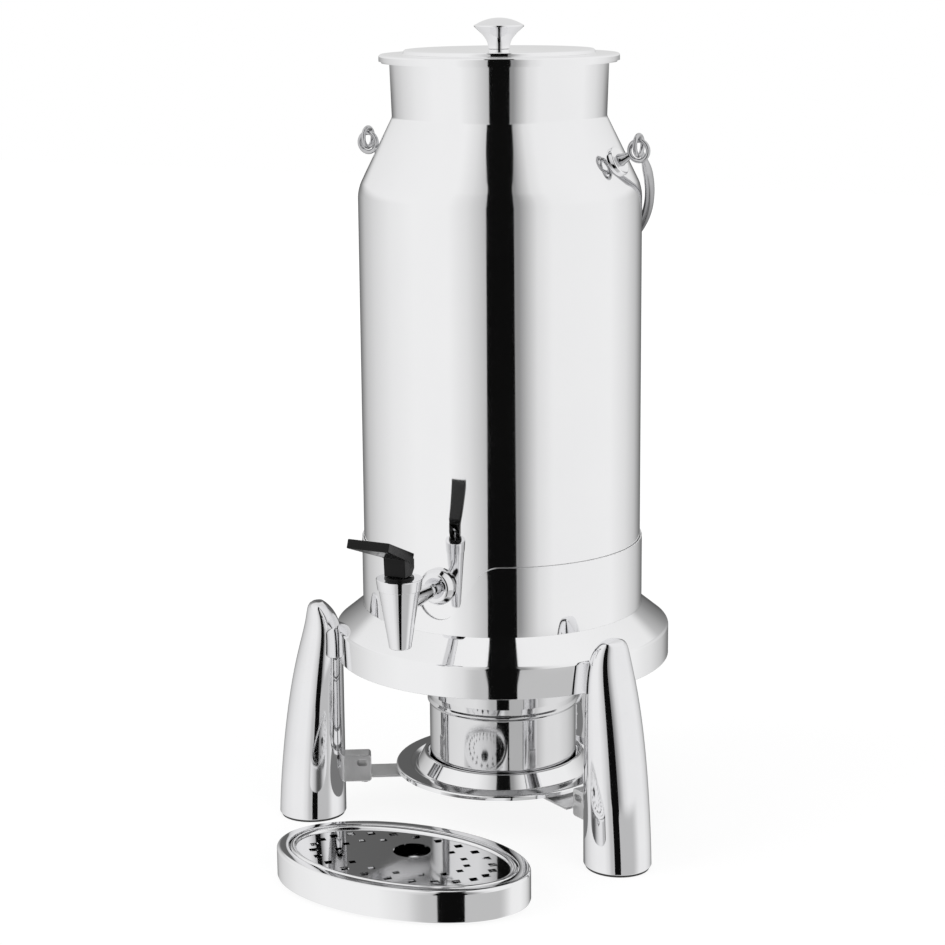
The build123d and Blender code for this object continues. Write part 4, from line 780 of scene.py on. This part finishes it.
tap_centre = (0, TAP_Y, 0)
spout = turned("tap_spout", [
    (4.2, 165.6, 0.4), (7.5, 165.6, 1.2), (14.0, 206.4), (12.0, 206.4), (8.1, 178.76), (6.8, 173.6),
    (4.2, 170.6)], SMALL_STEPS + 24, tap_centre, closed=True, finish=False)
shank = turned("shank", [(0, 87), (5.0, 87), (5.0, 107, 3), (7.0, 146.5), (0, 146.5)], SMALL_STEPS,
               (0, AXIS_Y, TAP_Z), (0, -1, 0), finish=False)
carve(spout, shank, "UNION")
smooth(spout, 36)
done(spout, "tap_chrome", "urn", "tap_body")

nut = turned("tap_collar_nut", [
    (12.7, 206.45), (14.7, 206.45, 0.4), (15.8, 214.35, 0.7), (10.05, 214.35, 0.2), (10.05, 212.75),
    (12.7, 212.75)], 96, tap_centre, closed=True)
done(nut, "tap_chrome", "urn", "tap_collar")

bonnet = turned("tap_bonnet_cap", [
    (2.05, 206.45), (12.65, 206.45), (12.65, 212.7), (10.0, 212.7), (10.0, 215.75, 0.7), (2.05, 215.75, 0.2)],
    96, tap_centre, closed=True)
done(bonnet, "tap_black", "urn", "tap_bonnet")

escutcheon = turned("tap_rosette", [
    (13.0, 99.0), (13.0, 103.15, 2.6), (10.14, 107.0, 2.6), (7.45, 107.0, 0.6), (5.05, 104.9), (5.05, 99.0)],
    96, (0, AXIS_Y, TAP_Z), (0, -1, 0), closed=True)
done(escutcheon, "tap_chrome", "urn", "tap_escutcheon")

# lever: a paddle that widens to its tip, on a hub that is open at its back
BONNET_TOP_Z = 215.75
PIN_Z = BONNET_TOP_Z + 6.7
LEVER_BACK_Y, LEVER_BACK_Z = TAP_Y + 7.0, BONNET_TOP_Z + 14.7
LEVER_SLOPE = radians(21.25)
LEVER_L, LEVER_T = 51.5, 6.3
LEVER_ROOT_W, LEVER_TIP_W = 16, 31
let_go()
bpy.ops.mesh.primitive_cube_add(size=1, location=(0, -LEVER_L / 2 * MM, -LEVER_T / 2 * MM))
lever = bpy.context.object
lever.name = lever.data.name = "tap_paddle"
lever.scale = (LEVER_ROOT_W * MM, LEVER_L * MM, LEVER_T * MM)
fix_place()
bpy.ops.object.mode_set(mode="EDIT")
select_where(lever, lambda co: co.y < -LEVER_L / 2 * MM)
bpy.ops.transform.resize(value=(LEVER_TIP_W / LEVER_ROOT_W, 1, 1),
                         center_override=(0, -LEVER_L * MM, -LEVER_T / 2 * MM))
bpy.ops.object.mode_set(mode="OBJECT")
lever.rotation_euler = (-LEVER_SLOPE, 0, 0)
lever.location = (0, LEVER_BACK_Y * MM, LEVER_BACK_Z * MM)
fix_place()


def paddle_mid_z(y):
    """Height of the paddle's middle over a point of the tap's plane."""
    return LEVER_BACK_Z + (LEVER_BACK_Y - y) * tan(LEVER_SLOPE) - LEVER_T / cos(LEVER_SLOPE) / 2


hub_bottom = BONNET_TOP_Z + 0.45
hub_front = TAP_Y - 6.5
hub_x = -LEVER_ROOT_W / 2
hub = slab("hub", [
    ((hub_x, LEVER_BACK_Y, paddle_mid_z(LEVER_BACK_Y)), 0), ((hub_x, LEVER_BACK_Y, hub_bottom + 4.2), 1.0),
    ((hub_x, LEVER_BACK_Y - 3.5, hub_bottom), 1.0), ((hub_x, hub_front, hub_bottom), 0.6),
    ((hub_x, hub_front - 1.0, paddle_mid_z(hub_front)), 0)], (LEVER_ROOT_W, 0, 0))
carve(lever, hub, "UNION")
SLOT_W = 5.6
slot_x, slot_front_y, slot_top_z = -SLOT_W / 2, TAP_Y - 5, PIN_Z + 3.6
slot = slab("slot", [
    ((slot_x, TAP_Y + 20, hub_bottom - 6), 0), ((slot_x, TAP_Y + 20, slot_top_z), 0),
    ((slot_x, slot_front_y, slot_top_z), 1.5), ((slot_x, slot_front_y, hub_bottom - 6), 0)], (SLOT_W, 0, 0))
carve(lever, slot)
soften(lever, 1.0, 3, 40)
smooth(lever, 40)
done(lever, "tap_black", "tap_lever", "tap_lever")

PIN_R, PIN_END = 1.25, 7.7
pin = turned("lever_hinge_pin", [
    (0, -PIN_END), (PIN_R, -PIN_END, 0.2), (PIN_R, PIN_END, 0.2), (0, PIN_END)], 40,
    (0, TAP_Y, PIN_Z), OUT, UP)
done(pin, "fastener_steel", "tap_lever", "lever_pin")


# ------------------------------------------------------------------ drip tray

TRAY_A, TRAY_B, TRAY_H = 93.0, 58.0, 23.6


def tray_ring(inset, height):
    """Ring of the tray at a distance in from its outside."""
    return (TRAY_X, TRAY_Y, height, TRAY_A - inset, TRAY_B - inset)


EDGE_ROUND = 2.6
edge_turns = [pi / 2 * step / 8 for step in range(9)]
edge_arc = [tray_ring(EDGE_ROUND * (1 - cos(turn)), TRAY_H - EDGE_ROUND * (1 - sin(turn)))
            for turn in edge_turns]
pan_rings = [tray_ring(1.2, 1.5), tray_ring(0.4, 1.8), tray_ring(0, 2.7)] + edge_arc
pan_rings += [tray_ring(inset, height) for inset, height in (
    (5.0, TRAY_H), (7.7, TRAY_H), (8.25, TRAY_H - 0.2), (8.5, TRAY_H - 0.8), (8.5, 20.2), (12.0, 20.2),
    (12.0, 18.7), (6.9, 18.7), (6.9, 19.4), (1.6, 19.4), (1.6, 2.9))]
pan = ringed("tray_pan_pressed", pan_rings, 160)
done(pan, "polished_steel", "tray", "tray_pan")

STRAINER_INSET = 9.1
PLATE_TOP_Z, BEAD_TOP_Z = 21.7, 23.4


def bead_ring(across, height):
    """Ring of the strainer, at a distance in from its own edge."""
    return tray_ring(STRAINER_INSET + across, height)


BEAD_W = 4.6
bead_arc = [bead_ring(BEAD_W / 2 * (1 - cos(pi * step / 14)),
                      PLATE_TOP_Z + (BEAD_TOP_Z - PLATE_TOP_Z) * sin(pi * step / 14)) for step in range(15)]
strainer = ringed("tray_strainer", [bead_ring(0.4, 20.5), bead_ring(0, 20.9)] + bead_arc, 160, finish=False)

# holes: two ovals of small diamonds and one large hole for a finger
FINGER_R, FINGER_Y = 13, 14
plate_a, plate_b = TRAY_A - STRAINER_INSET - BEAD_W, TRAY_B - STRAINER_INSET - BEAD_W
tools = []
for share, count, size in ((0.84, 24, 6.4), (0.60, 16, 5.2)):
    for step in range(count):
        turn = 2 * pi * (step + 0.5) / count
        x, y = plate_a * share * cos(turn), plate_b * share * sin(turn)
        if hypot(x, y - FINGER_Y) <= FINGER_R + size:
            continue
        let_go()
        bpy.ops.mesh.primitive_cube_add(size=0.85 * size * MM, rotation=(0, 0, pi / 4),
                                        location=((TRAY_X + x) * MM, (TRAY_Y + y) * MM, 21 * MM))
        fix_place()
        tools.append(bpy.context.object)
finger = turned("finger", [(0, 15), (FINGER_R, 15), (FINGER_R, 30), (0, 30)], SMALL_STEPS,
                (TRAY_X, TRAY_Y + FINGER_Y, 0), finish=False)
carve(strainer, joined([finger] + tools))
smooth(strainer, 36)
done(strainer, "polished_steel", "strainer", "strainer")


# ------------------------------------------------------------------ studio

VIEW_TURN = radians(26)     # the camera stands this far round from the front
toward = Vector((sin(VIEW_TURN), -cos(VIEW_TURN), 0))
rightward = Vector((cos(VIEW_TURN), sin(VIEW_TURN), 0))


def stage_material(name):
    """A material with an empty node tree but its output."""
    material = bpy.data.materials.new(name)
    material.use_nodes = True
    nodes = material.node_tree.nodes
    nodes.remove(nodes["Principled BSDF"])
    return material, nodes, material.node_tree.links, nodes["Material Output"]


def even_glow(name, tone):
    """A stage material of one even grey."""
    material, nodes, links, leave = stage_material(name)
    even = nodes.new("ShaderNodeEmission")
    even.inputs["Color"].default_value = (tone, tone, tone, 1)
    links.new(even.outputs[0], leave.inputs["Surface"])
    return material


def only_in_reflections(thing):
    thing.visible_camera = False
    thing.visible_diffuse = False
    thing.visible_shadow = False
    thing.visible_transmission = False
    thing.visible_volume_scatter = False


# floor: pale, and white where the camera looks at it, with the object's shadow kept
let_go()
bpy.ops.mesh.primitive_plane_add(size=9, location=(0, 0, -0.0002))
floor = bpy.context.object
floor.name = "floor"
floor.visible_glossy = False
material, nodes, links, leave = stage_material("floor_paper")
paper = nodes.new("ShaderNodeBsdfDiffuse")
paper.inputs["Color"].default_value = (0.14, 0.14, 0.14, 1)
bounce = nodes.new("ShaderNodeBsdfDiffuse")
bounce.inputs["Color"].default_value = (0.8, 0.8, 0.8, 1)
glow = nodes.new("ShaderNodeEmission")
glow.inputs["Color"].default_value = (1, 1, 1, 1)
# the lamps fall off away from the object, and the paper's own white makes up for it
spread = nodes.new("ShaderNodeTexCoord")
far = nodes.new("ShaderNodeVectorMath")
far.operation = "LENGTH"
links.new(spread.outputs["Object"], far.inputs[0])
fill = nodes.new("ShaderNodeMapRange")
fill.inputs["From Min"].default_value = 0.3
fill.inputs["From Max"].default_value = 2.2
fill.inputs["To Min"].default_value = 0.88
fill.inputs["To Max"].default_value = 1.0
links.new(far.outputs["Value"], fill.inputs["Value"])
links.new(fill.outputs["Result"], glow.inputs["Strength"])
both = nodes.new("ShaderNodeAddShader")
pick = nodes.new("ShaderNodeMixShader")
rays = nodes.new("ShaderNodeLightPath")
links.new(paper.outputs[0], both.inputs[0])
links.new(glow.outputs[0], both.inputs[1])
links.new(rays.outputs["Is Camera Ray"], pick.inputs[0])
links.new(bounce.outputs[0], pick.inputs[1])
links.new(both.outputs[0], pick.inputs[2])
links.new(pick.outputs[0], leave.inputs["Surface"])
floor.data.materials.append(material)

# light tent round the table, seen only in the polished metal
let_go()
bpy.ops.mesh.primitive_cylinder_add(vertices=96, radius=0.9, depth=2.1, end_fill_type="NGON",
                                    location=(0, AXIS_Y * MM, 0.35))
tent = bpy.context.object
tent.name = "light_tent"
bpy.ops.object.mode_set(mode="EDIT")
select_where(tent, lambda co: co.z > 1.04)
for rise, shrink in ((0.18, 0.88), (0.14, 0.78), (0.08, 0.55)):
    bpy.ops.mesh.extrude_region_move(TRANSFORM_OT_translate={"value": (0, 0, rise)})
    bpy.ops.transform.resize(value=(shrink, shrink, 1), center_override=(0, AXIS_Y * MM, 1.6))
bpy.ops.object.mode_set(mode="OBJECT")
material, nodes, links, leave = stage_material("tent_cloth")
place = nodes.new("ShaderNodeTexCoord")
face_view = nodes.new("ShaderNodeMapping")
face_view.inputs["Rotation"].default_value = (0, 0, -VIEW_TURN)
links.new(place.outputs["Object"], face_view.inputs["Vector"])
split = nodes.new("ShaderNodeSeparateXYZ")
links.new(face_view.outputs["Vector"], split.inputs[0])
back_y = math_node(nodes, links, "MULTIPLY", split.outputs[1], -1.0)
round_turn = math_node(nodes, links, "ARCTAN2", split.outputs[0], back_y)
along_ramp = math_node(nodes, links, "MULTIPLY_ADD", round_turn, 1 / (2 * pi), 0.5)
ramp = nodes.new("ShaderNodeValToRGB")
links.new(along_ramp, ramp.inputs["Fac"])
# brightness by the angle from the camera's side, left of it negative
tent_tones = [
    (-180, 0.10), (-163, 0.13), (-150, 0.30), (-136, 0.56), (-118, 0.72), (-95, 0.86), (-70, 0.93),
    (-40, 0.93), (-25, 0.78), (-12, 0.55), (0, 0.2), (14, 0.3), (20, 0.52), (28, 0.78), (40, 0.90),
    (95, 0.92), (117, 0.78), (136, 0.56), (150, 0.28), (163, 0.12), (180, 0.10)]
elements = ramp.color_ramp.elements
while len(elements) > 1:
    elements.remove(elements[-1])
elements[0].position = 0
elements[0].color = (tent_tones[0][1],) * 3 + (1,)
for turn, grey in tent_tones[1:]:
    element = elements.new((turn + 180) / 360)
    element.color = (grey, grey, grey, 1)


def faded(value, start, end):
    """A soft step of a value from 0 at start to 1 at end."""
    step = nodes.new("ShaderNodeMapRange")
    step.interpolation_type = "SMOOTHSTEP"
    step.inputs["From Min"].default_value = start
    step.inputs["From Max"].default_value = end
    links.new(value, step.inputs["Value"])
    return step.outputs["Result"]


# the tent is even and bright overhead, but in front the sky is no brighter than the cloth
height = split.outputs[2]
aside = faded(math_node(nodes, links, "ABSOLUTE", round_turn, 0), radians(24), radians(75))
sky = mixed(nodes, links, math_node(nodes, links, "MULTIPLY", aside, 0.8), ramp.outputs["Color"],
            (0.93, 0.93, 0.93, 1))
tone = mixed(nodes, links, faded(height, 0.1, 0.27), ramp.outputs["Color"], sky)
# the table's near side is a soft grey, low down
low = faded(height, -0.415, -0.455)
low = math_node(nodes, links, "MULTIPLY", low, faded(round_turn, radians(-27), radians(-13)))
low = math_node(nodes, links, "MULTIPLY", low, faded(round_turn, radians(72), radians(44)))
tone = mixed(nodes, links, low, tone, (0.55, 0.55, 0.55, 1))
cloth = nodes.new("ShaderNodeEmission")
links.new(tone, cloth.inputs["Color"])
links.new(cloth.outputs[0], leave.inputs["Surface"])
tent.data.materials.append(material)
only_in_reflections(tent)

# black card in front, which gives the polished metal its dark line
black = even_glow("black_card", 0.004)
CARD_REACH, CARD_TOP_Z = 880, 1300
# height, half width
card_edges = [(-650, 141), (-112, 141), (-92, 174), (379, 160), (450, 158), (484, 166), (520, 158),
              (764, 157), (1011, 166), (1290, 176)]
# distance in front of the axis, half width
lid_edges = [(856, 179), (787, 214), (700, 200), (496, 160), (210, 122), (100, 116)]


def card_outline(side):
    """One side of the card, from its foot up and then overhead towards the urn."""
    spots = [(CARD_REACH, height, width) for height, width in card_edges]
    spots += [(reach, CARD_TOP_Z, width) for reach, width in lid_edges]
    return [Vector((0, AXIS_Y, 0)) + toward * reach + rightward * side * width + UP * height
            for reach, height, width in spots]


def staged(piece, material):
    """Fill a drawn outline and show it in the polished metal only."""
    select_all()
    bpy.ops.mesh.edge_face_add()
    bpy.ops.object.mode_set(mode="OBJECT")
    piece.data.materials.append(material)
    only_in_reflections(piece)


right_edge, left_edge = card_outline(1), card_outline(-1)
bend = len(card_edges)
for name, first, last in (("front_card", 0, bend), ("overhead_card", bend - 1, len(right_edge))):
    outline = right_edge[first:last] + left_edge[first:last][::-1]
    staged(draw(name, [(spot, 0) for spot in outline], True), black)

# the shaded table top under the burner
let_go()
bpy.ops.mesh.primitive_circle_add(vertices=64, radius=0.08, fill_type="NGON",
                                  location=(0, AXIS_Y * MM, 0.0003))
shade = bpy.context.object
shade.name = "shaded_table"
shade.data.materials.append(even_glow("table_shade", 0.2))
only_in_reflections(shade)

# soft lamps for what isn't polished
for name, place, energy, size in (("lamp_left", (-1.1, -1.3, 1.5), 15, 1.3),
                                  ("lamp_right", (1.5, -0.8, 1.2), 9, 1.2),
                                  ("lamp_top", (0.0, 0.3, 1.9), 12, 1.6)):
    let_go()
    bpy.ops.object.light_add(type="AREA", location=place)
    lamp = bpy.context.object
    lamp.name = name
    lamp.data.energy = energy
    lamp.data.size = size
    lamp.rotation_euler = (Vector((0, 0, 0.28)) - Vector(place)).to_track_quat("-Z", "Y").to_euler()
    lamp.visible_glossy = False

world = bpy.data.worlds.new("studio")
bpy.context.scene.world = world
world.use_nodes = True
nodes, links = world.node_tree.nodes, world.node_tree.links
air = nodes["Background"]
air.inputs["Color"].default_value = (1, 1, 1, 1)
air.inputs["Strength"].default_value = 0.45
white = nodes.new("ShaderNodeBackground")
white.inputs["Color"].default_value = (1, 1, 1, 1)
white.inputs["Strength"].default_value = 1.0
rays = nodes.new("ShaderNodeLightPath")
seen = math_node(nodes, links, "MAXIMUM", rays.outputs["Is Camera Ray"], rays.outputs["Is Glossy Ray"])
seen = math_node(nodes, links, "MAXIMUM", seen, rays.outputs["Is Transmission Ray"])
pick = nodes.new("ShaderNodeMixShader")
links.new(seen, pick.inputs[0])
links.new(air.outputs[0], pick.inputs[1])
links.new(white.outputs[0], pick.inputs[2])
links.new(pick.outputs[0], nodes["World Output"].inputs["Surface"])

# camera
let_go()
bpy.ops.object.camera_add(location=(0.7285, -1.4937 + AXIS_Y * MM, 0.6216))
camera = bpy.context.object
camera.name = "studio_camera"
camera.data.lens = 89.65
camera.data.sensor_width = 36
# turned round to the urn, tipped down at it and rolled a little
turn, tip_down, roll = radians(26.7234), radians(77.565), radians(-0.4928)
camera.rotation_euler = (Euler((0, 0, turn)).to_matrix() @ Euler((tip_down, 0, 0)).to_matrix()
                         @ Euler((0, 0, roll)).to_matrix()).to_euler()
bpy.context.scene.camera = camera
bpy.context.scene.view_settings.view_transform = "Standard"

let_go()
